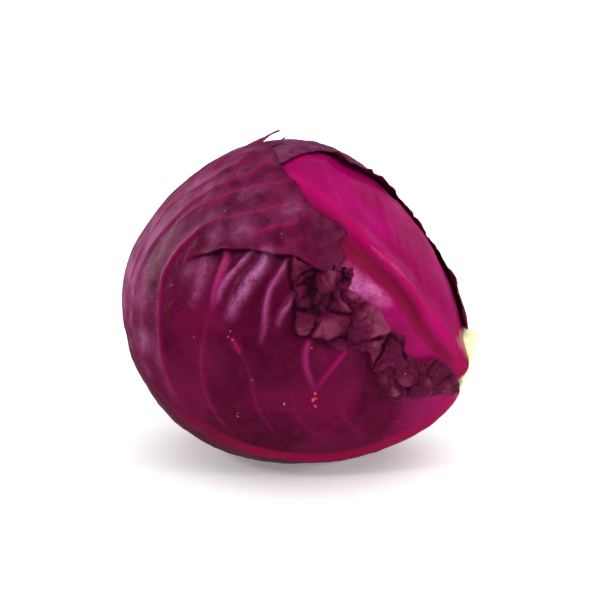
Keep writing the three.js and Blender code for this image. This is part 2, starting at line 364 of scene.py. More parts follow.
# A pleat's places, its height and half width, and its share of blush and of painted highlight.
PLEATS = (
    ([(112, 63.5), (110.7, 68), (110.6, 74), (110.9, 79), (110, 86)], 2.2, 1.5, 1.3, 0.15),
    ([(103.2, 62), (105.4, 67), (108, 73), (109.2, 78), (109, 83)], 1.5, 1.2, 0.6, 0.8),
    ([(98.7, 60.5), (98.6, 66), (100.6, 71), (102, 76), (103.6, 81), (104, 87)], 2.8, 2.3, 0.2, 1.0),
    ([(91.4, 60.5), (93, 67), (94.3, 72.5), (93.9, 78), (92.5, 84), (92, 91)], 2.4, 1.2, 1.0, 0.5),
    ([(86, 69), (87, 75), (88.3, 79), (88.5, 84)], 1.9, 1.1, 0.7, 0.5),
    ([(77.5, 84), (77, 90), (75, 95), (71.5, 100.5), (69.8, 103)], 1.7, 1.2, 1.0, 0.1),
    ([(64, 86), (66, 91), (68.5, 97.5), (69.6, 103)], 1.4, 1.2, 0.9, 0.0),
    ([(117.5, 69), (117, 74), (117, 80), (118, 88)], 0.9, 2.4, 0.0, 0.35),
)
# A groove's places, its depth and half width.
GROOVES = (
    ([(107, 63), (107.6, 68), (108.8, 72)], 0.5, 1.1),
    ([(95.5, 62), (96, 68), (97, 73.5), (98, 80), (98.5, 87)], 1.3, 2.6),
    ([(89, 66), (90, 73), (91, 80)], 1.2, 1.7),
    ([(84.5, 72), (84.5, 79), (82, 86)], 1.3, 2.2),
    ([(70.5, 86), (71, 92), (70, 99)], 1.5, 2.4),
    ([(90, 61), (88, 66.5), (84.5, 73.5), (81.5, 82), (78, 83)], 1.6, 1.3),
)
# Where the front leaf's waxy film and painted sheen lie thick: a place, its reach in millimetres and its
# amount.
BLOOM_AND_SHEEN_SPOTS = (
    ((118, 59), 4, 0.5), ((109, 56), 5, 0.45), ((96, 45), 4, 0.5), ((112, 42), 6, 0.3),
    ((133, 150), 7, 0.8), ((121, 149), 6, 0.6), ((144, 156), 9, 0.8), ((122, 76), 5, 0.4),
    ((145, 100), 10, 0.5), ((135, 116), 6, 0.7), ((155, 60), 17, 0.7), ((140, 30), 12, 0.6),
    ((150, 82), 7, 0.5), ((162, 110), 16, 0.9), ((160, 150), 16, 0.8), ((125, 8), 9, 0.3),
    ((138, 126), 9, 0.2),
)
TOP_VALLEY = [
    (88, 44), (77, 48), (68.5, 50), (59.5, 52), (53, 54), (44.5, 58.5), (39, 64), (30.5, 70), (21, 79),
]
# A patch of painted highlight on the top leaf, and a band of painted sheen over its top.
TOP_HIGHLIGHT_PATCH = [(69, 61), (62, 60.5), (55, 61)]
TOP_SHEEN = [(60, 8), (52, 2), (44, 1), (36, 8), (28, 18), (20, 30)]
# The top leaf's soft side veins and folds, in the same form as the front leaf's veins. The first is a
# painted highlight line along the midrib's crest.
TOP_VEINS = (
    ([(64, 42.5), (52, 47), (43, 52), (36, 57.5)], 0.5, 1.1, 1.1),
    ([(74, 11), (66.5, 21.5), (61, 29), (57, 37)], 0.9, 2.2, 0.25),
    ([(97, 14), (90, 25), (81, 37)], 0.7, 2.0, 0.2),
    ([(61, 15), (55, 7), (46, 2), (38, 3)], 1.0, 2.4, 0.35),
    ([(42, 4), (35.5, 13), (29, 18), (21.5, 28), (15.5, 42)], 0.8, 2.0, 0.3),
    ([(52, 25), (46, 33), (40, 44)], 0.5, 1.8, 0.2),
)


class Leaf:
    """A leaf's outline and midrib, and what can be measured from them."""

    def __init__(self, name):
        spec = LEAVES[name]
        self.name = name
        self.seed = spec["seed"]
        self.level = ORDER.index(name)
        self.rib_path = smooth_path(spec["rib"])
        self.stations = spec["stations"]
        self.sweep = spec["sweep"]
        edge = smooth_path(spec["outline"], closed=True)
        middle = direction(*spec["middle"])
        if (np.cross(edge, np.roll(edge, -1, axis=0)) @ middle).sum() < 0:
            edge = edge[::-1]
        self.edge_path = edge
        self.middle = middle
        self.right = unit(np.cross(middle, STEM_AXIS))
        self.ahead = np.cross(middle, self.right)

    def inward(self, ways):
        """How far inside the smooth outline directions are, in millimetres."""
        return beside(ways, self.edge_path, closed=True)[0]

    def cover(self, ways):
        """How far the leaf has come down on what is under it: 0 well outside its edge, 1 inside."""
        return ease(self.inward(ways), -TUCK, 0)

    def to_plane(self, ways):
        """Places on a flat map about the leaf's middle, which keeps the shapes of small pieces."""
        depth = 1 + ways @ self.middle
        return np.stack((ways @ self.right, ways @ self.ahead), axis=1) / depth[:, None]

    def from_plane(self, flat):
        """The directions of places on the flat map."""
        square = (flat**2).sum(axis=1)[:, None]
        across = 2 * (flat[:, :1] * self.right + flat[:, 1:] * self.ahead)
        return unit((across + (1 - square) * self.middle) / (1 + square))

    def rib_shape(self, ways):
        """The midrib's height over the leaf, and the signed distance from its line."""
        apart, along = beside(ways, self.rib_path)
        height, width = RIBS[self.name]
        fade = 1 - 0.85 * along
        return height * fade * bump(apart, width * (0.35 + 0.65 * fade)), apart

    def vein_phase(self, ways):
        """A number that is whole on each side vein, and the millimetres from one to the next."""
        start, end = self.rib_path[0], self.rib_path[int(0.7 * len(self.rib_path))]
        pole = unit(np.cross(start, end))
        forward = np.cross(pole, STEM_AXIS)
        lean = np.degrees(np.arcsin(np.clip(ways @ pole, -1, 1)))
        start_line = unit(STEM_AXIS - pole * (STEM_AXIS @ pole))
        travel = np.degrees(np.arctan2(ways @ forward, ways @ start_line))
        travel = np.where(travel < -60, travel + 360, travel)
        rib_lean = np.degrees(np.arcsin(self.rib_path @ pole))
        rib_travel = np.degrees(np.arctan2(self.rib_path @ forward, self.rib_path @ STEM_AXIS))
        out = lean - np.interp(travel, rib_travel, rib_lean)
        spots = ways * MEAN_RADIUS
        wander = 2.2 * noise(spots, 26, self.seed) + 0.7 * noise(spots, 9, self.seed + 4)
        travel = travel + wander * ease(np.abs(out), 0, 12)
        first, last = self.sweep
        low, high = FAN
        gain = (last - first) / (high - low)
        reach = np.abs(out) * 0.92
        plain = travel - first * reach
        fanned = (travel - (first - gain * low) * reach) / (1 + gain * reach)
        root = np.where(plain < low, plain, fanned)
        near, far = self.stations[:2], self.stations[-2:]
        stations = np.array([2 * near[0] - near[1], *self.stations, 2 * far[1] - far[0]], float)
        side = np.where(out > 0, 0.0, 0.37)
        phase = np.interp(root, stations, np.arange(len(stations))) + side * ease(np.abs(out), 0, 3)
        pitch = np.interp(root, stations[:-1], np.diff(stations)) * math.radians(MEAN_RADIUS)
        pitch = pitch * np.where(plain < low, 1, 1 + gain * reach)
        return phase, pitch, out * math.radians(MEAN_RADIUS)


def floor_limit(ways, depth):
    """The radius at which directions meet a floor that lies depth below the head's middle."""
    down = -ways[:, 2]
    return np.where(down > 0.5, depth / np.maximum(down, 0.5), 1e3)


def bedding(ways, leaf):
    """The radius of what lies under a leaf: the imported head, dipped to let the leaves' edges in,
    the leaves below and their midribs, all pressed in where the head rests on the floor. Also
    how much the leaves above cover it."""
    covers = [others.cover(ways) for others in ALL]
    ribs = [others.rib_shape(ways)[0] for others in ALL]
    bed = head_radius(ways) - LAYER_PITCH * sum(covers)
    top = bed.copy()
    for k, (cover, rib) in enumerate(zip(covers, ribs)):
        top += cover * (LAYER_PITCH + rib)
        if k < leaf.level:
            bed += cover * (LAYER_PITCH + rib)
    press = np.maximum(0, top - floor_limit(ways, FLOOR_DEPTH + 0.1))
    above = np.max([0 * bed, *covers[leaf.level + 1 :]], axis=0)
    return bed - press, above


ALL = [Leaf(name) for name in LEAVES]


def scatter(spacing):
    """Directions spread evenly all round, spacing millimetres apart."""
    count = int(4 * math.pi * (MEAN_RADIUS / spacing) ** 2 / 0.87)
    index = np.arange(count) + 0.5
    height = 1 - 2 * index / count
    turn = math.pi * (1 + 5**0.5) * index
    flat = np.sqrt(1 - height**2)
    return np.stack((flat * np.cos(turn), flat * np.sin(turn), height), axis=1)


def ragged_edge(leaf, rough):
    """The leaf's outline with its waves and nicks: rough(ways) gives their size in millimetres."""
    edge = leaf.edge_path
    tangents = unit(np.roll(edge, -1, axis=0) - np.roll(edge, 1, axis=0))
    inwards = np.cross(edge, tangents)
    spots = edge * MEAN_RADIUS
    gentle, sharp = rough(edge)
    waves = gentle * fractal(spots, 13, 3, leaf.seed + 20)
    nicks = sharp * (0.5 * noise(spots, 7, leaf.seed + 30) + np.abs(noise(spots, 3.1, leaf.seed + 31)))
    free = ease(from_stem(edge), 12, 19)
    return unit(edge + inwards * ((waves + nicks) * free / MEAN_RADIUS)[:, None])


def apart_from(ways, others):
    """How far each direction is from the nearest of the others, in millimetres."""
    parts = np.array_split(ways, len(ways) // CHUNK + 1)
    nearest = np.concatenate([(part @ others.T).max(axis=1) for part in parts])
    return np.arccos(np.clip(nearest, -1, 1)) * MEAN_RADIUS


def rows_beside(path, offsets):
    """Copies of a path, moved sideways by each offset."""
    lefts = unit(np.cross(path, np.gradient(path, axis=0)))
    return np.concatenate([unit(path + lefts * (offset / MEAN_RADIUS)) for offset in offsets])


def triangulate(leaf, edge, fine_area=None, lines=()):
    """The leaf's sheet as directions and triangles: edge points, rows of points along the lines,
    and an even scatter inside, which is finer where fine_area(ways) is true."""
    spacing = bpy.context.scene.cabbage.mesh_spacing / MM
    inside = scatter(spacing)
    inside = inside[leaf.inward(inside) > -4]
    if fine_area is not None:
        fine = scatter(spacing * 0.55)
        fine = fine[leaf.inward(fine) > -4]
        inside = np.concatenate((inside[~fine_area(inside)], fine[fine_area(fine)]))
    for path in lines:
        rows = rows_beside(path, (-1.3, -0.5, 0, 0.5, 1.3))
        inside = inside[apart_from(inside, path) > 1.75]
        inside = np.concatenate((inside, rows))
    inside = inside[apart_from(inside, edge) > 0.45 * spacing]
    flat = leaf.to_plane(np.concatenate((edge, inside)))
    vectors = [Vector(point) for point in flat]
    points, _, faces, *_ = delaunay_2d_cdt(vectors, [], [list(range(len(edge)))], 1, 1e-7)
    points = np.array([tuple(point) for point in points])
    return leaf.from_plane(points), np.array([tuple(face) for face in faces])


def cut_tear(edge, path):
    """Takes a tear's two lips into an outline, from where the tear meets it."""
    meets = int(np.argmax(edge @ path[-1]))
    before, after = edge[: meets - 2], edge[meets + 3 :]
    tangents = np.gradient(path, axis=0)
    lefts = unit(np.cross(path, tangents))
    width = TEAR_OPENING * np.linspace(0, 1, len(path))[:, None] / MEAN_RADIUS
    first, second = unit(path + lefts * width), unit(path - lefts * width)
    if before[-1] @ second[-1] > before[-1] @ first[-1]:
        first, second = second, first
    return np.concatenate((before, first[::-1], second[1:], after))


def rim_loop(faces):
    """The sheet's edges that have one face, each in that face's direction."""
    edges = np.concatenate((faces[:, (0, 1)], faces[:, (1, 2)], faces[:, (2, 0)]))
    count = edges.max() + 1
    forward = set((edges[:, 0] * count + edges[:, 1]).tolist())
    single = [edge for edge in edges.tolist() if edge[1] * count + edge[0] not in forward]
    return np.array(single)


def add_piece(name, points, faces, stands_for, attributes, material):
    """A smooth mesh object on the cabbage's body, from points in millimetres from the middle."""
    mesh = bpy.data.meshes.new(name)
    mesh.from_pydata(((points + MIDDLE) * MM).tolist(), [], faces)
    for label, values in attributes.items():
        layer = mesh.attributes.new(label, "FLOAT", "POINT")
        layer.data.foreach_set("value", np.asarray(values, np.float32))
    mesh.shade_smooth()
    mesh.materials.append(material)
    piece = bpy.data.objects.new(name, mesh)
    bpy.context.scene.collection.objects.link(piece)
    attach(piece, "root")
    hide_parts(stands_for)
    return piece


def shell(ways, faces, outer, shifts, thickness, inward):
    """An outer and an inner sheet joined at the rim, which is thinner than the rest."""
    thin = thickness * (0.35 + 0.65 * ease(inward, 0, 2.0))
    top = ways * outer[:, None] + shifts
    bottom = ways * (outer - thin)[:, None] + shifts
    count = len(ways)
    rim = rim_loop(faces)
    sides = [(int(b), int(a), int(a) + count, int(b) + count) for a, b in rim]
    lower = faces[:, ::-1] + count
    return np.concatenate((top, bottom)), [*faces.tolist(), *lower.tolist(), *sides]


def facing_out(ways, faces):
    """The triangles, turned over where they would face the head's middle."""
    corners = ways[faces]
    across = np.cross(corners[:, 1] - corners[:, 0], corners[:, 2] - corners[:, 0])
    turn = (across * corners[:, 0]).sum(axis=1)
    return np.where((turn < 0)[:, None], faces[:, ::-1], faces)


def leaf_surface(leaf, ways, relief):
    """The outer radius of a leaf: its bed, its own thickness and relief, held off the floor."""
    bed, above = bedding(ways, leaf)
    rib = leaf.rib_shape(ways)[0]
    outer = bed + LAYER_PITCH + rib + relief * (1 - 0.85 * above)
    return np.minimum(outer, floor_limit(ways, FLOOR_DEPTH))


def blade_relief(leaf, ways, fields, share):
    """Evenly spread side veins with quilting between them, by their share, and unevenness."""
    phase, out = fields["vein_phase"], np.abs(fields["vein_out"])
    apart = np.abs(phase - np.round(phase)) * fields["vein_pitch"]
    taper = 1 - 0.6 * ease(out, 10, 80)
    veins = 0.55 * bump(apart, 1.5) * taper * ease(out, 1, 5)
    quilting = 0.35 * np.sin(np.pi * phase) ** 2 * ease(out, 4, 16)
    spots = ways * MEAN_RADIUS
    uneven = 0.55 * fractal(spots, 24, 2, leaf.seed + 40) + 0.2 * fractal(spots, 7, 2, leaf.seed + 42)
    return bpy.context.scene.cabbage.vein_height * share * (veins + quilting) + uneven


# ---------------------------------------------------------------- materials


def rgb(red, green, blue):
    """A colour from screen values of 0 to 255, as the linear values that the shaders use."""
    levels = (channel / 255 for channel in (red, green, blue))
    return tuple(
        level / 12.92 if level <= 0.04045 else ((level + 0.055) / 1.055) ** 2.4 for level in levels
    )


class Graph:
    """Builds a material's nodes. A value given to an input is a number, a colour or a socket."""

    def __init__(self, name):
        self.material = bpy.data.materials.new(name)
        self.material.use_nodes = True
        self.tree = self.material.node_tree
        self.tree.nodes.clear()

    def add(self, kind, inputs, output=0, **settings):
        node = self.tree.nodes.new("ShaderNode" + kind)
        for key, value in settings.items():
            setattr(node, key, value)
        for key, value in inputs.items():
            socket = node.inputs[key]
            if isinstance(value, bpy.types.NodeSocket):
                self.tree.links.new(value, socket)
            elif socket.type == "RGBA":
                socket.default_value = (*value[:3], 1)
            else:
                socket.default_value = value
        return node.outputs[output] if output is not None else node

    def attribute(self, name):
        return self.add("Attribute", {}, "Fac", attribute_name=name)

    def math(self, operation, *values):
        return self.add("Math", dict(enumerate(values)), operation=operation)

    def times(self, *values):
        result = values[0]
        for value in values[1:]:
            result = self.math("MULTIPLY", result, value)
        return result

    def span(self, value, start, end, low=0.0, high=1.0):
        """value's way from start to end, smoothed, as a number from low to high."""
        inputs = {"Value": value, "From Min": start, "From Max": end, "To Min": low, "To Max": high}
        return self.add("MapRange", inputs, interpolation_type="SMOOTHSTEP")

    def mix(self, amount, first, second):
        """The first colour, with the second over it by amount."""
        inputs = {0: amount, 6: first, 7: second}
        return self.add("Mix", inputs, 2, data_type="RGBA")

    def place(self):
        """The spot in the model's frame, in millimetres."""
        spot = self.add("TexCoord", {}, "Object")
        return self.add("VectorMath", {0: spot, "Scale": 1 / MM}, operation="SCALE")

    def noise(self, place, size, detail=2.0, rough=0.5, warp=0.0, kind="Fac"):
        shape = {"Scale": 1 / size, "Detail": detail, "Roughness": rough, "Distortion": warp}
        return self.add("TexNoise", {"Vector": place, **shape}, kind)

    def cells(self, place, size, feature="DISTANCE_TO_EDGE", output="Distance"):
        return self.add("TexVoronoi", {"Vector": place, "Scale": 1 / size}, output, feature=feature)

    def bump(self, height, distance, strength):
        return self.add("Bump", {"Height": height, "Distance": distance * MM, "Strength": strength})

    def finish(self, **inputs):
        """The surface itself: inputs are named as the shader's own, with _ for a space."""
        named = {key.replace("_", " "): value for key, value in inputs.items()}
        surface = self.add("BsdfPrincipled", named)
        self.add("OutputMaterial", {"Surface": surface}, None)
        return self.material


# What the shaders read from a leaf's mesh, as leaf_fields gives it.
SHEET_FIELDS = (
    "vein_phase", "vein_pitch", "vein_out", "edge", "dry", "bloom", "foot", "line", "plain",
    "accent", "blush", "painted_highlight", "fold", "shade",
)


def vein_lines(graph, place, sheet, look):
    """How much of each kind of vein's line there is: side veins run on whole phases, lesser ones
    start between them further out, and a net and a finer mesh lie between those."""
    wander = graph.noise(place, 6.0, 2.0)
    drift = graph.math("MULTIPLY_ADD", wander, 0.10, -0.05)
    phase, pitch, plain = sheet["vein_phase"], sheet["vein_pitch"], sheet["plain"]
    side = graph.times(graph.math("PINGPONG", graph.math("ADD", phase, drift), 0.5), pitch)
    lesser = graph.times(graph.math("PINGPONG", graph.math("ADD", phase, 0.5), 0.5), pitch)
    reach = graph.math("ABSOLUTE", sheet["vein_out"])
    width = graph.span(reach, 0.0, 75.0, 0.62, 0.26)
    line = graph.times(graph.span(graph.math("DIVIDE", side, width), 0.35, 1.25, 1.0, 0.0), plain)
    line = graph.math("MAXIMUM", line, sheet["line"])
    halo = graph.times(graph.span(side, 0.3, 3.2, 1.0, 0.0), plain)
    thin = graph.times(graph.span(lesser, 0.08, 0.4, 1.0, 0.0), plain)
    thin = graph.times(thin, graph.span(reach, 14.0, 34.0))
    strayed = graph.noise(place, 6.0, 2.0, kind="Color")
    strayed = graph.add("VectorMath", {0: strayed, "Scale": 6.0}, operation="SCALE")
    strayed = graph.add("VectorMath", {0: place, 1: strayed}, operation="ADD")
    network = graph.span(graph.cells(strayed, 8.5), 0.0, 0.05, 1.0, 0.0)
    mesh = graph.span(graph.cells(strayed, 2.6), 0.0, 0.09, 1.0, 0.0)
    veins = graph.math("MAXIMUM", line, graph.times(thin, 0.75))
    veins = graph.math("MAXIMUM", veins, graph.times(network, look["network"]))
    return dict(
        line=line, halo=halo, thin=thin, strayed=strayed, network=network, mesh=mesh, veins=veins
    )


def blade_colour(graph, place, sheet, lines, look):
    """Two tones in cloudy patches, then veins, blush, the waxy film with its painted sheen, the accent,
    painted highlights, foot, heel and rim. Also the film.
    """
    clouds = graph.noise(place, 34.0, 3.0, 0.55, 0.6)
    mottle = graph.noise(place, 4.5, 4.0, 0.6)
    blade = graph.mix(graph.span(clouds, 0.36, 0.66), look["deep"], look["light"])
    blade = graph.mix(graph.span(mottle, 0.35, 0.75, 0.0, 0.35), blade, look["light"])
    blade = graph.mix(graph.times(lines["halo"], look["halo"]), blade, look["vein"])
    blade = graph.mix(graph.times(lines["veins"], look["lines"]), blade, look["vein"])
    rubbed = graph.noise(place, 11.0, 5.0, 0.62, 0.3)
    # The waxy film's amount, which also carries painted sheen.
    film = graph.times(sheet["bloom"], graph.span(rubbed, 0.36, 0.62, 0.3, 1.0))
    film = graph.times(film, graph.math("SUBTRACT", 1.0, graph.times(lines["veins"], 0.6)))
    blade = graph.mix(graph.times(sheet["blush"], 0.85), blade, look["blush"])
    blade = graph.mix(film, blade, look["bloom"])
    blade = graph.mix(graph.times(sheet["accent"], 0.85), blade, look["accent"])
    pores = graph.span(graph.cells(place, 1.7, "F1"), 0.16, 0.30, 1.0, 0.0)
    sparse = graph.span(graph.noise(place, 2.6, 3.0), 0.5, 0.58)
    # Painted highlights, broken up by noise, with dark pores in them.
    highlight_breakup = graph.span(graph.noise(place, 3.6, 5.0, 0.75), 0.36, 0.56, 0.3, 1.0)
    highlight_mask = graph.times(sheet["painted_highlight"], highlight_breakup)
    blade = graph.mix(highlight_mask, blade, look["painted_highlight"])
    blade = graph.mix(graph.times(pores, sparse, highlight_mask, 0.7), blade, look["deep"])
    blade = graph.mix(graph.span(sheet["foot"], 1.0, 22.0, 0.85, 0.0), blade, look["foot"])
    blade = graph.mix(graph.span(sheet["foot"], 0.0, 4.5, 0.75, 0.0), blade, look["heel"])
    return graph.mix(graph.span(sheet["edge"], 0.0, 1.3, 0.75, 0.0), blade, look["rim"]), film


def wilted_colour(graph, place, sheet, look):
    """Dry skin, with painted highlights on its crests and painted shade in its creases."""
    fold = sheet["fold"]
    colour = graph.mix(graph.noise(place, 5.0, 4.0, 0.65), look["dry_dark"], look["dry_pale"])
    crinkle = graph.noise(place, 1.5, 5.0, 0.7)
    colour = graph.mix(graph.span(crinkle, 0.56, 0.72, 0.0, 0.45), colour, look["dry_pale"])
    colour = graph.mix(graph.span(fold, 0.6, 1.0, 0.0, 0.7), colour, look["dry_painted_highlight"])
    return graph.mix(graph.span(fold, 0.42, 0.1, 0.0, 0.95), colour, look["dry_painted_shade"])


def marked_colour(graph, place, colour, look):
    """A few pale specks all over, and the leaf's own marks at their spots."""
    speck = graph.cells(place, 6.0, "F1")
    lot = graph.cells(place, 6.0, "F1", "Color")
    chosen = graph.span(lot, 0.62, 0.66)
    dots = graph.times(graph.span(speck, 0.035, 0.07, 1.0, 0.0), chosen)
    colour = graph.mix(graph.times(dots, 0.55), colour, look["speck"])
    crumbs = graph.noise(place, 0.9, 4.0, 0.6)
    for spots, size, mark in look["marks"]:
        for spot in spots:
            centre = tuple(float(value) for value in spot)
            gap = graph.add("VectorMath", {0: place, 1: centre}, "Value", operation="DISTANCE")
            ragged = graph.math("MULTIPLY_ADD", crumbs, size * 3.2, -size * 1.6)
            gap = graph.math("ADD", gap, ragged)
            colour = graph.mix(graph.span(gap, size * 0.4, size, 0.9, 0.0), colour, mark)
    return colour


def skin_height(graph, place, sheet, lines):
    """In millimetres: veins stand out, fine lines are pressed in, and dry skin is crinkled."""
    height = graph.math("MULTIPLY_ADD", lines["line"], 0.22, graph.times(lines["thin"], 0.10))
    height = graph.math("MULTIPLY_ADD", lines["network"], 0.05, height)
    height = graph.math("MULTIPLY_ADD", lines["mesh"], -0.018, height)
    height = graph.math("MULTIPLY_ADD", graph.noise(place, 5.0, 5.0, 0.62, 0.4), 0.42, height)
    crinkles = graph.times(graph.noise(place, 2.4, 6.0, 0.72, 0.6), 1.1)
    cracks = graph.span(graph.cells(lines["strayed"], 4.4), 0.0, 0.3, 0.0, 0.9)
    crinkles = graph.math("ADD", crinkles, cracks)
    return graph.math("ADD", height, graph.times(crinkles, sheet["dry"]))


def leaf_material(name, look):
    """A waxy leaf. look gives its colours, and how strong its veins, relief and gloss are."""
    graph = Graph(name)
    place = graph.place()
    sheet = {label: graph.attribute(label) for label in SHEET_FIELDS}
    lines = vein_lines(graph, place, sheet, look)
    colour, film = blade_colour(graph, place, sheet, lines, look)
    colour = graph.mix(sheet["dry"], colour, wilted_colour(graph, place, sheet, look))
    # Painted shade: under the tear's lip, beside the wilted part, in creases and along the top leaf's
    # valley.
    colour = graph.mix(graph.times(sheet["shade"], 0.9), colour, look["shade"])
    colour = marked_colour(graph, place, colour, look)
    normal = graph.bump(skin_height(graph, place, sheet, lines), 1.0, look["relief"])
    rough = look["rough"]
    gloss = graph.span(graph.noise(place, 16.0, 4.0, 0.6), 0.3, 0.7, rough - 0.05, rough + 0.09)
    for amount, duller in ((film, 0.26), (sheet["dry"], 0.06), (sheet["accent"], 0.25)):
        gloss = graph.math("MULTIPLY_ADD", amount, duller, gloss)
    return graph.finish(
        Base_Color=colour,
        Roughness=gloss,
        Normal=normal,
        Subsurface_Weight=0.12,
        Subsurface_Radius=(2.4 * MM, 0.5 * MM, 0.9 * MM),
        Subsurface_Scale=1.0,
        Specular_IOR_Level=look["shine"],
        Specular_Tint=(1.0, 0.52, 0.82),
    )


BLADE = dict(
    accent=rgb(140, 0, 58),
    blush=rgb(142, 8, 84),
    foot=rgb(150, 4, 82),
    heel=rgb(190, 80, 120),
    rim=rgb(72, 6, 40),
    # Painted highlight on the wilted folds' crests, and painted shade in their pits.
    dry_painted_highlight=rgb(142, 62, 94),
    dry_painted_shade=rgb(26, 0, 12),
    # The colours of the painted highlight and of the painted shade.
    painted_highlight=rgb(168, 92, 146),
    shade=rgb(36, 0, 14),
    speck=rgb(214, 150, 160),
    network=0.1,
    halo=0.15,
    lines=0.55,
    relief=0.9,
    rough=0.26,
    shine=0.09,
    marks=(),
)


def surface_spot(polar, azimuth):
    way = direction([polar], [azimuth])
    return way[0] * head_radius(way)[0] + MIDDLE


def looks(name):
    """The plain blade's look in the user's colours, and how each leaf differs from it."""
    settings = bpy.context.scene.cabbage
    plain = dict(
        deep=settings.blade_dark,
        light=settings.blade_pale,
        vein=settings.vein_colour,
        bloom=settings.bloom_and_sheen_colour,
        dry_dark=settings.dry_dark,
        dry_pale=settings.dry_pale,
    )
    scar = [surface_spot(*place) for place in ((69.6, 104), (69.2, 106.2), (69.8, 107), (68.4, 109.6))]
    nick = [surface_spot(*place) for place in ((102.4, 89.6), (102.6, 91.6), (101, 92))]
    own = {
        "leaf_front": dict(
            marks=(
                (scar, 0.9, rgb(210, 74, 72)),
                (nick, 0.5, rgb(170, 92, 136)),
                ([surface_spot(79, 110), surface_spot(93, 120)], 0.8, rgb(190, 130, 40)),
            ),
        ),
        "leaf_top": dict(
            deep=settings.bright_dark,
            light=settings.bright_pale,
            vein=rgb(170, 30, 112),
            bloom=rgb(182, 84, 152),
            # Deep red for the valley beside the midrib, partly its own colour and partly painted shade.
            accent=rgb(112, 0, 42),
            blush=rgb(172, 4, 86),
            # The colours of the painted highlight and of the painted shade.
            painted_highlight=rgb(194, 96, 160),
            shade=rgb(92, 0, 32),
            foot=rgb(140, 0, 62),
            heel=rgb(150, 10, 66),
            speck=rgb(110, 10, 60),
            network=0.12,
            halo=0.12,
            lines=0.35,
            relief=0.5,
            rough=0.25,
            shine=0.12,
        ),
        "leaf_back": dict(
            deep=rgb(66, 2, 32),
            light=rgb(88, 10, 50),
            bloom=rgb(118, 60, 94),
            vein=rgb(160, 78, 122),
            lines=0.5,
        ),
        "leaf_under": dict(
            deep=rgb(80, 4, 44),
            light=rgb(108, 20, 68),
            # Pale lilac, partly waxy film and partly painted light from the floor below.
            bloom=rgb(176, 128, 160),
            vein=rgb(194, 118, 160),
            lines=0.6,
        ),
    }
    return {**BLADE, **plain, **own.get(name, {})}


# ---------------------------------------------------------------- the leaves' meshes


def leaf_fields(leaf, ways, edge):
    """What the relief and the shaders need to know at each spot of a leaf."""
    phase, pitch, out = leaf.vein_phase(ways)
    fields = dict(vein_phase=phase, vein_pitch=pitch, vein_out=out, edge=apart_from(ways, edge))
    fields["rib"] = leaf.rib_shape(ways)[1]
    fields["foot"] = (from_stem(ways) - FOOT) * math.radians(MEAN_RADIUS)
    for name in ("line", "dry", "bloom", "accent", "blush", "painted_highlight", "fold", "shade"):
        fields[name] = np.zeros(len(ways))
    fields["plain"] = np.ones(len(ways))
    return fields


def raise_veins(ways, veins, fields):
    """Single veins: adds their lines to the fields, and returns their height."""
    height = np.zeros(len(ways))
    for places, tall, wide, pale in veins:
        side, part = beside(ways, smooth_path(places))
        taper = np.sin(np.pi * np.clip(0.18 + 0.8 * part, 0, 1)) ** 0.6
        height = np.maximum(height, tall * taper * bump(side, wide))
        fields["line"] = np.maximum(fields["line"], pale * taper * bump(side, 0.55))
        fields["blush"] = np.maximum(fields["blush"], 0.22 * pale * taper * bump(side, 2.2))
    return bpy.context.scene.cabbage.vein_height * height


def torn_shred(start, end, width, rise, steps=14, across=6):
    """A narrow pointed strip that stands up from the leaf: its points and its faces."""
    path = smooth_path([start, end], step=0.2)
    path = path[np.linspace(0, len(path) - 1, steps).round().astype(int)]
    lefts = unit(np.cross(path, np.gradient(path, axis=0)))
    part = np.linspace(0, 1, steps)
    half = 0.5 * width * (1 - part) ** 0.7 + 0.05
    radius = head_radius(path) + 0.2 + rise * part**1.6
    sheet = []
    for side in np.linspace(-1, 1, across):
        drop = 0.9 * side * side * (1 - part) + 0.35 * np.sin(9 * part + 2 * side)
        sheet.append(path * (radius - drop)[:, None] + lefts * (side * half)[:, None])
    sheet = np.stack(sheet, axis=1).reshape(-1, 3)
    index = np.arange(steps * across).reshape(steps, across)
    a, b = index[:-1, :-1].ravel(), index[1:, :-1].ravel()
    faces = np.concatenate((np.stack((a, b, b + 1), axis=1), np.stack((a, b + 1, a + 1), axis=1)))
    return sheet, faces


def make_leaf(leaf, ways, faces, fields, relief, shifts=None, shreds=()):
    """Adds a leaf's piece from its sheet, what is known at each spot, and its relief."""
    faces = facing_out(ways, faces)
    shifts = np.zeros((len(ways), 3)) if shifts is None else shifts
    room = SINK + 0.8 * leaf.rib_shape(ways)[0]
    outer = leaf_surface(leaf, ways, np.maximum(relief, WILT_LIFT * fields["dry"] - room))
    settings = bpy.context.scene.cabbage
    thickness = settings.leaf_thickness / MM + 1.6 * bump(fields["foot"], 9)
    points, polygons = shell(ways, faces, outer, shifts, thickness, fields["edge"])
    points[:, 2] = np.maximum(points[:, 2], -FLOOR_DEPTH)
    doubled = {key: np.concatenate((values, values)) for key, values in fields.items()}
    for sheet, sheet_faces in shreds:
        sheet_ways = unit(sheet)
        sheet_faces = facing_out(sheet_ways, sheet_faces)
        size = np.linalg.norm(sheet, axis=1)
        count = len(points)
        none = np.zeros(len(sheet))
        strip, strip_polygons = shell(sheet_ways, sheet_faces, size, np.zeros_like(sheet), 0.5 + none, none)
        points = np.concatenate((points, strip))
        polygons += [tuple(corner + count for corner in polygon) for polygon in strip_polygons]
        for key, values in doubled.items():
            own = 0.8 if key in ("dry", "fold") else 30.0 if key in ("foot", "edge", "rib") else 0.0
            doubled[key] = np.concatenate((values, np.full(len(strip), own)))
    material = leaf_material(leaf.name + "_skin", looks(leaf.name))
    return add_piece(leaf.name + "_blade", points, polygons, leaf.name, doubled, material)


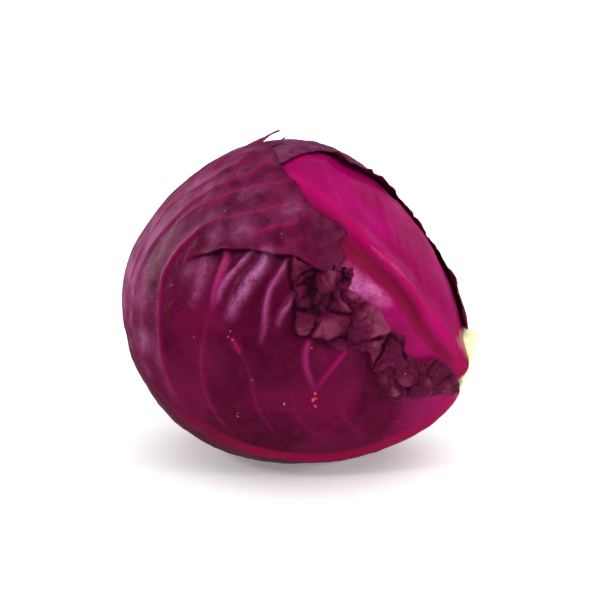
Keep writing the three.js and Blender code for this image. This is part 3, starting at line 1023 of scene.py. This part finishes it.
def facets(ways, size, seed):
    """Flat patches about size across, each leaning its own way, with sharp creases between them:
    how near a spot is to a crease, from 0 to 1, and how high its patch leans, from -1 to 1."""
    random = np.random.default_rng(seed)
    hubs = scatter(size)
    hubs = hubs[(apart_from(hubs, ways) < size) & (random.random(len(hubs)) < 0.72)]
    hubs = unit(hubs + random.normal(size=hubs.shape) * (0.4 * size / MEAN_RADIUS)) * MEAN_RADIUS
    lean = unit(random.normal(size=hubs.shape))
    bent = ways * MEAN_RADIUS
    bent = bent + 0.3 * size * np.stack([noise(bent, size, seed + k) for k in range(3)], axis=1)
    gaps = np.linalg.norm(bent[:, None] - hubs[None], axis=2)
    order = np.argsort(gaps, axis=1)[:, :2]
    rows = np.arange(len(ways))
    spread = gaps[rows, order[:, 1]] - gaps[rows, order[:, 0]]
    own = order[:, 0]
    tilt = ((bent - hubs[own]) * lean[own]).sum(axis=1) / (0.5 * size)
    return 1 - np.clip(spread / (0.6 * size), 0, 1), tilt * np.clip(spread / (0.25 * size), 0, 1)


def crumple(ways, dry, seed, size=9.0, height=3.0, shake=1.5):
    """The folds of a wilted edge: a height over the blade, a sideways shift, and how far up a
    fold each spot is, from 0 to 1."""
    total, side = np.zeros(len(ways)), np.zeros((len(ways), 3))
    inside = dry > 0.01
    spots = ways[inside]
    crease, tilt = facets(spots, size, seed)
    small_crease, small_tilt = facets(spots, 0.5 * size, seed + 1)
    slow = noise(spots * MEAN_RADIUS, 1.6 * size, seed + 2)
    big = 0.42 - 0.7 * crease**3 + 0.3 * tilt
    total[inside] = big - 0.18 * small_crease**2 + 0.12 * small_tilt + 0.3 * slow
    sways = [fractal(spots * MEAN_RADIUS, size, 2, seed + 10 + k) for k in range(3)]
    side[inside] = np.stack(sways, axis=1)
    fold = np.clip(0.42 + 0.75 * total, 0, 1)
    return dry * height * (total + 0.2), shake * dry[:, None] * side, fold


class FrontLeaf:
    """The front leaf's tear, ragged edge and wilted part, and what they do to its sheet."""

    def __init__(self):
        self.leaf = ALL[ORDER.index("leaf_front")]
        self.tear = smooth_path(TEAR, step=0.9)
        self.torn = smooth_path(TORN)
        self.wilt_limit = smooth_path(WILTED_INSIDE)
        self.veins = [smooth_path(places) for places, *_ in FRONT_VEINS]

    def withering(self, ways):
        """More than 0 on the wilted side of its inner limit, in millimetres."""
        spots = ways * MEAN_RADIUS
        side = beside(ways, self.wilt_limit)[0] + 1.6 * noise(spots, 7, 61) + 0.8 * noise(spots, 3, 62)
        return np.where(beside(ways, self.tear)[0] < 0, side, -9)

    def rough(self, ways):
        """The size of the outline's waves and nicks: more where it is torn or wilted."""
        by_torn = bump(beside(ways, self.torn)[0], 7)
        withered = ease(beside(ways, self.wilt_limit)[0], -3, 3) * (1 - by_torn)
        return 0.5 + 0.9 * withered, 0.2 + by_torn + 0.5 * withered

    def needs_detail(self, ways):
        broadest_pleat = smooth_path(PLEATS[2][0])
        return (self.withering(ways) > -3) | (np.abs(beside(ways, broadest_pleat)[0]) < 13)

    def pleat(self, ways, relief, fields):
        """Folds the blade below the tear, and returns its relief and how much painted highlight it gets."""
        shine = np.zeros(len(ways))
        for places, height, width, blush, painted_highlight in PLEATS:
            side, part = beside(ways, smooth_path(places))
            crest = bump(side, width) * np.sin(np.pi * np.clip(0.25 + 0.75 * part, 0, 1)) ** 0.8
            relief = relief + height * crest
            shine = np.maximum(shine, painted_highlight * crest)
            fields["blush"] = np.maximum(fields["blush"], blush * crest)
            fields["line"] = np.maximum(fields["line"], 0.7 * bump(side, 0.5) * crest)
        for places, depth, width in GROOVES:
            side, part = beside(ways, smooth_path(places))
            hollow = bump(side, width) * np.sin(np.pi * np.clip(0.15 + 0.85 * part, 0, 1)) ** 0.8
            relief = relief - depth * hollow
            shine = shine * (1 - hollow)
        return relief, shine

    def open_tear(self, ways):
        """The upper lip is lifted, and slides over the lower one: its height, its sideways shift,
        and the painted shadow under it."""
        spots = ways * MEAN_RADIUS
        side, part = beside(ways, self.tear)
        upper = side > 0
        lip = (2.2 + 0.4 * noise(spots, 14, 71)) * bump(side, 6) + 1.3 * bump(side, 2)
        height = np.where(upper, lip, -0.4 * bump(side, 4)) * ease(part, 0.0, 0.3)
        # The painted shadow along the lower lip, under the lifted upper lip.
        dark = np.where(upper, 0.0, bump(side, 1.8 + 1.5 * part)) * ease(part, 0.0, 0.1)
        lefts = unit(np.cross(self.tear, np.gradient(self.tear, axis=0)))
        last = len(self.tear) - 1
        nearest = np.clip((part * last).round().astype(int), 0, last)
        slide = np.where(upper, -2.4 + noise(spots, 9, 72), 0.7)
        slide = slide * bump(side, 9) * ease(part, 0.0, 0.25)
        return height, lefts[nearest] * slide[:, None], dark

    def bloom(self, ways, polar, hidden):
        """Waxy film with painted sheen: it lies on the crown, in patches, and along the upper side of some
        veins.
        """
        bloom = np.full(len(ways), 0.02)
        for place, reach, amount in BLOOM_AND_SHEEN_SPOTS:
            bloom += amount * bump(apart_from(ways, direction(*place)[None]), reach)
        bloom += 0.12 * ease(ways * MEAN_RADIUS @ UP_AXIS, 20, 60) + 0.35 * hidden
        for path in (*self.veins[:2], *self.veins[4:6]):
            side = beside(ways, path)[0]
            bloom += 0.3 * ease(side, -0.6, 0.6) * ease(-side, -9, -1) * ease(polar, 112, 124)
        return np.clip(bloom, 0, 1)


def build_front_leaf():
    front = FrontLeaf()
    leaf = front.leaf
    edge = cut_tear(ragged_edge(leaf, front.rough), front.tear)
    ways, faces = triangulate(leaf, edge, front.needs_detail, front.veins)
    fields = leaf_fields(leaf, ways, edge)
    spots = ways * MEAN_RADIUS
    fields["dry"] = dry = ease(front.withering(ways), -1.5, 1.5)
    polar = from_stem(ways)
    freedom = 0.15 + 0.85 * ease(polar, 14, 40)
    folds, shifts, fields["fold"] = crumple(ways, dry * freedom, 63, 11.0, 5.0, 2.0)
    folds += 0.8 * dry * ease(polar, 50, 60)

    # The blade: single veins in front, and evenly spread ones behind and below.
    around = np.degrees(np.arctan2(ways @ FRONT_AXIS, ways @ UP_AXIS)) % 360
    hidden = ease(np.abs((around - 60) % 360 - 180), 95, 70)
    fields["plain"] = hidden
    relief = blade_relief(leaf, ways, fields, hidden)
    relief += raise_veins(ways, FRONT_VEINS, fields)
    relief, shine = front.pleat(ways, relief, fields)

    # Creases over the tear, the wilted folds, the tear's lips and the ragged edge.
    tear_side = beside(ways, front.tear)[0]
    flap = ease(tear_side, 0, 6) * ease(polar, 72, 80) * ease(132 - polar, 0, 10)
    ridges = creases(spots, 16, 3, 68)
    relief += flap * (ridges - 0.5)
    relief = relief * (1 - dry) + folds
    lips, slide, lip_shadow = front.open_tear(ways)
    relief += lips
    shifts = shifts + slide
    torn_side = np.abs(beside(ways, front.torn)[0])
    relief += (0.6 + 0.8 * noise(spots, 6, 73)) * bump(torn_side, 3.0) * (1 - dry)

    # Painted shade: a shadow under the lip, and darkening beside the wilted part and in the creases.
    wilt_side, along_limit = beside(ways, front.wilt_limit)
    by_wilt = bump(wilt_side + 1.0, 1.3) * ease(-tear_side, 0, 1) * ease(along_limit, 0.42, 0.3)
    folded = 0.4 * flap * ease(ridges, 0.76, 0.9)
    fields["shade"] = np.max((lip_shadow, 0.8 * by_wilt, folded), axis=0)

    # Colour: the waxy film with its painted sheen, painted highlight on the pleats, a deep red band along
    # the midrib, and a pink foot.
    fields["bloom"] = front.bloom(ways, polar, hidden) * (1 - dry)
    fields["painted_highlight"] = np.clip(shine, 0, 1) * (1 - dry)
    off_rib = np.abs(fields["rib"] + 0.5 * noise(spots, 11, 75))
    along_rib = beside(ways, leaf.rib_path)[1]
    fields["accent"] = ease(-off_rib, -6.5, -4.5) * ease(1 - along_rib, 0.25, 0.6)
    pink_foot = ease(fields["foot"], 46, 12) * (1 - dry)
    fields["blush"] = np.maximum(fields["blush"] * (1 - dry), 0.9 * pink_foot)
    shreds = [
        torn_shred((123, 14), (111, 354), 10.0, 4.0),
        torn_shred((113, 9), (108, 4), 3.5, 1.6),
    ]
    return make_leaf(leaf, ways, faces, fields, relief, shifts, shreds=shreds)


def build_back_leaf():
    leaf = ALL[ORDER.index("leaf_back")]
    dry_edge = smooth_path(BACK_DRY)

    def rough(ways):
        by_dry = bump(beside(ways, dry_edge)[0], 9)
        return 0.7 + 0.9 * by_dry, 0.2 + 0.15 * by_dry

    def fine_area(ways):
        return np.abs(beside(ways, dry_edge)[0]) < 10

    edge = ragged_edge(leaf, rough)
    ways, faces = triangulate(leaf, edge, fine_area)
    fields = leaf_fields(leaf, ways, edge)
    spots = ways * MEAN_RADIUS
    apart, along = beside(ways, dry_edge)
    fields["dry"] = dry = 1 - ease(np.abs(apart) + 1.8 * noise(spots, 6, 81), 3.0, 6.0)
    folds, shifts, fields["fold"] = crumple(ways, dry, 83, 12.0, 1.7, 0.8)
    relief = blade_relief(leaf, ways, fields, 1.0) * (1 - dry) + folds
    curl = 0.9 + 1.7 * ease(along, 0.6, 0.8)
    relief += curl * bump(apart, 3.0) * (1 + 0.6 * noise(spots, 9, 84))
    fields["bloom"] = np.full(len(ways), 0.7) * (1 - dry)
    return make_leaf(leaf, ways, faces, fields, relief, shifts)


def build_top_leaf():
    leaf = ALL[ORDER.index("leaf_top")]
    edge = ragged_edge(leaf, lambda ways: (np.full(len(ways), 0.5), np.zeros(len(ways))))
    veins = [smooth_path(places) for places, *_ in TOP_VEINS]
    ways, faces = triangulate(leaf, edge, lines=veins)
    fields = leaf_fields(leaf, ways, edge)
    fields["plain"] = np.full(len(ways), 0.08)
    relief = blade_relief(leaf, ways, fields, 0.3) + raise_veins(ways, TOP_VEINS, fields)

    # The midrib falls away steeply into a valley on its lower side.
    side, part = beside(ways, smooth_path(TOP_VALLEY))
    valley = bump(side, 3.2) * ease(part, 0, 0.12) * ease(1 - part, 0, 0.2)
    relief = relief - 2.8 * valley
    # Deep red in the valley, partly its own colour and partly painted shade.
    off_valley = np.abs(side + 0.4 * noise(ways * MEAN_RADIUS, 9, 78))
    fields["accent"] = ease(-off_valley, part * 5 - 8, part * 3 - 4)
    # A patch of painted highlight below the front leaf's torn edge, and painted sheen over the top.
    edge_sheen = bump(apart_from(ways, smooth_path(TOP_SHEEN)), 7)
    gloss, along = beside(ways, smooth_path(TOP_HIGHLIGHT_PATCH))
    gloss = (np.abs(gloss) + 0.9 * noise(ways * MEAN_RADIUS, 5, 77)) / (1.2 - 0.5 * along)
    gloss = bump(gloss, 5.0) * (1.0 - 0.35 * along)
    fields["painted_highlight"] = np.clip(gloss + 0.15 * edge_sheen, 0, 1) * (1 - 0.9 * fields["accent"])
    fields["bloom"] = np.full(len(ways), 0.02)
    crest = beside(ways, leaf.rib_path)[0]
    fields["blush"] = np.maximum(fields["blush"], 0.5 * bump(crest, 3.5) * ease(fields["foot"], 2, 12))
    # Painted shade on the valley's far side.
    fields["shade"] = 0.75 * bump(side - 1.2, 1.6) * ease(part, 0.0, 0.1) * ease(1 - part, 0.1, 0.4)
    return make_leaf(leaf, ways, faces, fields, relief)


def build_under_leaf():
    leaf = ALL[ORDER.index("leaf_under")]
    edge = ragged_edge(leaf, lambda ways: (np.full(len(ways), 0.6), np.full(len(ways), 0.2)))
    ways, faces = triangulate(leaf, edge)
    fields = leaf_fields(leaf, ways, edge)
    relief = blade_relief(leaf, ways, fields, 1.0)
    fields["bloom"] = np.full(len(ways), 0.5)
    return make_leaf(leaf, ways, faces, fields, relief)


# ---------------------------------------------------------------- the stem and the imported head


def stem_material():
    graph = Graph("cut_stem_flesh")
    place = graph.place()
    ring, cut = graph.attribute("ring"), graph.attribute("cut")
    stem_colour = bpy.context.scene.cabbage.stem_colour
    flesh = graph.mix(graph.noise(place, 3.5, 4.0, 0.6), stem_colour, rgb(240, 232, 170))
    bark = graph.mix(graph.noise(place, 2.2, 4.0, 0.65), rgb(255, 254, 214), rgb(246, 244, 176))
    band = graph.span(graph.math("ABSOLUTE", graph.math("SUBTRACT", ring, 10.6)), 0.3, 1.5, 1.0, 0.0)
    dots = graph.span(graph.cells(place, 1.5, "F1"), 0.2, 0.5, 1.0, 0.25)
    face = graph.mix(graph.times(band, dots, 0.7), flesh, rgb(190, 196, 120))
    pith = graph.span(ring, 2.0, 7.5, 0.6, 0.0)
    face = graph.mix(pith, face, rgb(246, 240, 206))
    colour = graph.mix(cut, bark, face)
    stains = graph.span(graph.noise(place, 4.2, 5.0, 0.7), 0.6, 0.74, 0.0, 0.6)
    colour = graph.mix(stains, colour, rgb(150, 116, 66))
    height = graph.times(graph.noise(place, 0.8, 5.0, 0.7), 0.35)
    height = graph.math("MULTIPLY_ADD", graph.cells(place, 1.4, "F1"), 0.12, height)
    return graph.finish(
        Base_Color=colour,
        Roughness=graph.span(graph.noise(place, 3.0, 3.0), 0.3, 0.7, 0.42, 0.62),
        Normal=graph.bump(height, 1.0, 0.8),
        Subsurface_Weight=0.1,
        Subsurface_Radius=(1.2 * MM, 1.1 * MM, 0.6 * MM),
        Subsurface_Scale=1.0,
    )


def build_stem():
    """The cut stub: a knobbly side, a worn rim and a cut face with its ring and soft middle."""
    sides, rows = 140, []
    worn, dip = 1.2, 1.3
    for t in np.linspace(0, 1, 30):
        radius = STEM_RADIUS - 3 + 3 * math.sin(t * math.pi / 2)
        rows.append((radius, STEM_ROOT + t * (STEM_CUT - worn - STEM_ROOT), 0.0))
    for t in np.linspace(0.15, 1, 6):
        turn = t * math.pi / 2
        radius = STEM_RADIUS - worn * (1 - math.cos(turn))
        rows.append((radius, STEM_CUT - worn + worn * math.sin(turn), t * 0.6))
    for t in np.linspace(0.03, 1, 30)[:-1]:
        rows.append(((STEM_RADIUS - worn) * (1 - t), STEM_CUT - dip * t * t, 1.0))
    points, ring, cut = [], [], []
    for radius, height, on_cut in rows:
        turn = np.arange(sides) / sides * 2 * math.pi
        round_about = np.cos(turn)[:, None] * UP_AXIS + np.sin(turn)[:, None] * FRONT_AXIS
        points.append(radius * round_about + height * STEM_AXIS)
        ring.append(np.full(sides, radius))
        cut.append(np.full(sides, on_cut))
    points = np.concatenate((*points, [STEM_AXIS * (STEM_CUT - dip), STEM_AXIS * STEM_ROOT]))
    ring = np.concatenate((*ring, [0, 0]))
    cut = np.concatenate((*cut, [1, 0]))
    outward = points - (points @ STEM_AXIS)[:, None] * STEM_AXIS
    outward = outward / np.maximum(ring, 1)[:, None]
    knobs = 0.45 * fractal(points, 5, 3, 91) * (1 - cut)
    saw = 0.3 * fractal(points, 3, 3, 92) * cut * ease(ring, 0, 3)
    points = points + outward * knobs[:, None] + STEM_AXIS * saw[:, None]
    faces = []
    for row in range(len(rows) - 1):
        for side in range(sides):
            a, b = row * sides + side, row * sides + (side + 1) % sides
            faces.append((a, b, b + sides, a + sides))
    last = (len(rows) - 1) * sides
    for side in range(sides):
        after = (side + 1) % sides
        faces.append((last + side, last + after, len(points) - 2))
        faces.append((after, side, len(points) - 1))
    attributes = {"ring": ring, "cut": cut}
    return add_piece("stem_stub", points, faces, "stem", attributes, stem_material())


def dress_inner_head():
    """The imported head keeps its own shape, and gets the skin of closely wrapped leaves."""
    graph = Graph("packed_leaves_skin")
    place = graph.place()
    clouds = graph.noise(place, 22.0, 4.0, 0.55)
    colour = graph.mix(clouds, rgb(120, 14, 70), rgb(168, 40, 112))
    lines = graph.span(graph.cells(place, 9.0), 0.0, 0.06, 0.6, 0.0)
    colour = graph.mix(lines, colour, rgb(206, 96, 160))
    height = graph.math("MULTIPLY_ADD", lines, 0.2, graph.noise(place, 3.0, 4.0))
    material = graph.finish(
        Base_Color=colour,
        Roughness=graph.span(clouds, 0.3, 0.7, 0.34, 0.5),
        Normal=graph.bump(height, 0.3, 0.7),
        Subsurface_Weight=0.1,
        Subsurface_Radius=(2.4 * MM, 0.5 * MM, 0.9 * MM),
    )
    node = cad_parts["inner_head"]
    node.data.materials.clear()
    node.data.materials.append(material)
    node.data.shade_smooth()


# ---------------------------------------------------------------- the studio


def build_stage():
    studio = bpy.context.scene.cabbage_studio
    graph = Graph("pale_floor")
    place = graph.place()
    paper = graph.mix(graph.noise(place, 300.0, 3.0), (0.93, 0.93, 0.935), (0.95, 0.95, 0.955))
    floor_material = graph.finish(
        Base_Color=paper,
        Roughness=graph.span(graph.noise(place, 80.0), 0.3, 0.7, 0.5, 0.6),
        Emission_Color=paper,
        Emission_Strength=0.24,
    )
    reach = 12.0
    mesh = bpy.data.meshes.new("floor")
    corners = [(-reach, -reach, 0), (reach, -reach, 0), (reach, reach, 0), (-reach, reach, 0)]
    mesh.from_pydata(corners, [], [(0, 1, 2, 3)])
    mesh.materials.append(floor_material)
    floor = bpy.data.objects.new("floor", mesh)
    bpy.context.scene.collection.objects.link(floor)
    floor.visible_glossy = False

    low, high = cad_box
    aim = (Vector(low) + Vector(high)) / 2
    lamps = (
        ("left_softbox", (-0.95, -0.95, 0.95), 0.26, studio.left_light),
        ("right_softbox", (1.15, -0.7, 0.55), 0.26, studio.right_light),
        ("left_card", (-1.6, 1.0, 0.7), 1.3, studio.left_card),
        ("right_card", (1.4, 1.3, 0.9), 1.0, studio.right_card),
    )
    data = bpy.data.lights.new("overhead", "SUN")
    data.energy = studio.overhead_light
    data.angle = math.radians(95)
    lamp = bpy.data.objects.new("overhead", data)
    lamp.rotation_euler = (math.radians(4), math.radians(8), 0)
    lamp.visible_glossy = False
    bpy.context.scene.collection.objects.link(lamp)
    for name, spot, size, power in lamps:
        data = bpy.data.lights.new(name, "AREA")
        data.shape = "SQUARE"
        data.size = size
        data.energy = power
        lamp = bpy.data.objects.new(name, data)
        lamp.location = spot
        lamp.rotation_euler = (aim - Vector(spot)).to_track_quat("-Z", "Y").to_euler()
        bpy.context.scene.collection.objects.link(lamp)

    world = bpy.data.worlds.new("studio_air")
    world.use_nodes = True
    nodes, links = world.node_tree.nodes, world.node_tree.links
    rays = nodes.new("ShaderNodeLightPath")
    strength = nodes.new("ShaderNodeMapRange")
    strength.inputs["To Min"].default_value = studio.air_light
    strength.inputs["To Max"].default_value = 1.0
    links.new(rays.outputs["Is Camera Ray"], strength.inputs["Value"])
    links.new(strength.outputs["Result"], nodes["Background"].inputs["Strength"])
    nodes["Background"].inputs["Color"].default_value = (1, 1, 1, 1)
    bpy.context.scene.world = world
    bpy.context.scene.view_settings.view_transform = "Standard"

    tilt = studio.camera_elevation
    data = bpy.data.cameras.new("studio_camera")
    data.lens = studio.camera_lens
    camera = bpy.data.objects.new("studio_camera", data)
    camera.location = aim + Vector((0, -math.cos(tilt), math.sin(tilt))) * studio.camera_distance
    camera.rotation_euler = (math.pi / 2 - tilt, 0, 0)
    bpy.context.scene.collection.objects.link(camera)
    bpy.context.scene.camera = camera


def length_property(name, description, default):
    return bpy.props.FloatProperty(
        name=name, description=description, default=default * MM, min=0.2 * MM, precision=5, unit="LENGTH"
    )


def light_property(name, description, default, unit="POWER"):
    return bpy.props.FloatProperty(name=name, description=description, default=default, min=0, unit=unit)


def colour_property(name, description, *default):
    return bpy.props.FloatVectorProperty(
        name=name, description=description, default=rgb(*default), min=0, max=1, size=3, subtype="COLOR"
    )


class CabbageSettings(bpy.types.PropertyGroup):
    """The sizes and colours of the leaves and the stem."""

    leaf_thickness: length_property("Leaf thickness", "How thick a leaf's blade is", 0.8)
    mesh_spacing: length_property("Mesh spacing", "From one of a leaf's mesh points to the next", 1.25)
    vein_height: bpy.props.FloatProperty(
        name="Vein height",
        description="How much the veins stand out",
        default=1,
        min=0,
        max=2,
        subtype="FACTOR",
    )
    blade_dark: colour_property("Dark leaf", "The darker shade of the outer leaves", 66, 0, 28)
    blade_pale: colour_property("Pale leaf", "The paler shade of the outer leaves", 96, 4, 48)
    bright_dark: colour_property("Bright leaf, dark", "The darker shade of the top leaf", 128, 0, 66)
    bright_pale: colour_property("Bright leaf, pale", "The paler shade of the top leaf", 150, 0, 88)
    vein_colour: colour_property("Veins", "The lines of the veins", 158, 26, 88)
    # The colour of the waxy film and of the painted sheen.
    bloom_and_sheen_colour: colour_property("Bloom", "The waxy film on the leaves", 154, 80, 126)
    dry_dark: colour_property("Wilted edge, dark", "The darker shade of the wilted edges", 72, 8, 38)
    dry_pale: colour_property("Wilted edge, pale", "The paler shade of the wilted edges", 104, 26, 60)
    stem_colour: colour_property("Cut stem", "The stem's flesh", 250, 248, 200)


class StudioSettings(bpy.types.PropertyGroup):
    """The camera and the lights."""

    camera_distance: bpy.props.FloatProperty(
        name="Camera distance", description="From the camera to the head", default=0.673, unit="LENGTH"
    )
    camera_elevation: bpy.props.FloatProperty(
        name="Camera elevation",
        description="How far the camera looks down",
        default=math.radians(15),
        subtype="ANGLE",
        unit="ROTATION",
    )
    camera_lens: bpy.props.FloatProperty(
        name="Lens", description="Focal length in millimetres", default=85, subtype="DISTANCE_CAMERA"
    )
    overhead_light: light_property("Overhead light", "Strength of the broad light from above", 3.2, "NONE")
    left_light: light_property("Left softbox", "Power of the small bright light at the left", 6.5)
    right_light: light_property("Right softbox", "Power of the small bright light at the right", 7)
    left_card: light_property("Left card", "Power of the wide light behind at the left", 14)
    right_card: light_property("Right card", "Power of the wide light behind at the right", 1.2)
    air_light: light_property("Room light", "Strength of the even light all round", 0.1, "NONE")


class CABBAGE_OT_stage(bpy.types.Operator):
    """Adds the floor, the lights and the camera"""

    bl_idname = "cabbage.stage"
    bl_label = "Studio"

    def execute(self, context):
        build_stage()
        return {"FINISHED"}


class CABBAGE_OT_inner_head(bpy.types.Operator):
    """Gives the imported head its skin"""

    bl_idname = "cabbage.inner_head"
    bl_label = "Packed head"

    def execute(self, context):
        dress_inner_head()
        return {"FINISHED"}


class CABBAGE_OT_stem(bpy.types.Operator):
    """Adds the cut stem's stub"""

    bl_idname = "cabbage.stem"
    bl_label = "Cut stem"

    def execute(self, context):
        build_stem()
        return {"FINISHED"}


class CABBAGE_OT_top_leaf(bpy.types.Operator):
    """Adds the bright inner leaf at the top, where the outer leaves are missing"""

    bl_idname = "cabbage.top_leaf"
    bl_label = "Bright top leaf"

    def execute(self, context):
        build_top_leaf()
        return {"FINISHED"}


class CABBAGE_OT_under_leaf(bpy.types.Operator):
    """Adds the leaf that the head rests on"""

    bl_idname = "cabbage.under_leaf"
    bl_label = "Under leaf"

    def execute(self, context):
        build_under_leaf()
        return {"FINISHED"}


class CABBAGE_OT_back_leaf(bpy.types.Operator):
    """Adds the dark leaf at the back, with its curled edge"""

    bl_idname = "cabbage.back_leaf"
    bl_label = "Dark back leaf"

    def execute(self, context):
        build_back_leaf()
        return {"FINISHED"}


class CABBAGE_OT_front_leaf(bpy.types.Operator):
    """Adds the torn and wilted wrapper leaf at the front"""

    bl_idname = "cabbage.front_leaf"
    bl_label = "Front wrapper leaf"

    def execute(self, context):
        build_front_leaf()
        return {"FINISHED"}


class CABBAGE_PT_panel(bpy.types.Panel):
    """Lists the cabbage's pieces and the studio"""

    bl_idname = "CABBAGE_PT_panel"
    bl_label = "Red cabbage head"
    bl_space_type = "VIEW_3D"
    bl_region_type = "UI"
    bl_category = "Cabbage"

    def draw(self, context):
        for operator in OPERATORS:
            self.layout.operator(operator.bl_idname)
        for settings in (context.scene.cabbage, context.scene.cabbage_studio):
            for name in type(settings).__annotations__:
                self.layout.prop(settings, name)


OPERATORS = (
    CABBAGE_OT_inner_head,
    CABBAGE_OT_stem,
    CABBAGE_OT_top_leaf,
    CABBAGE_OT_under_leaf,
    CABBAGE_OT_back_leaf,
    CABBAGE_OT_front_leaf,
    CABBAGE_OT_stage,
)
CLASSES = (CabbageSettings, StudioSettings, *OPERATORS, CABBAGE_PT_panel)


def register():
    for item in CLASSES:
        bpy.utils.register_class(item)
    bpy.types.Scene.cabbage = bpy.props.PointerProperty(type=CabbageSettings)
    bpy.types.Scene.cabbage_studio = bpy.props.PointerProperty(type=StudioSettings)


def unregister():
    del bpy.types.Scene.cabbage_studio
    del bpy.types.Scene.cabbage
    for item in reversed(CLASSES):
        bpy.utils.unregister_class(item)


def main():
    register()
    bpy.ops.cabbage.inner_head()
    bpy.ops.cabbage.stem()
    bpy.ops.cabbage.top_leaf()
    bpy.ops.cabbage.under_leaf()
    bpy.ops.cabbage.back_leaf()
    bpy.ops.cabbage.front_leaf()
    bpy.ops.cabbage.stage()


if __name__ == "__main__":
    main()
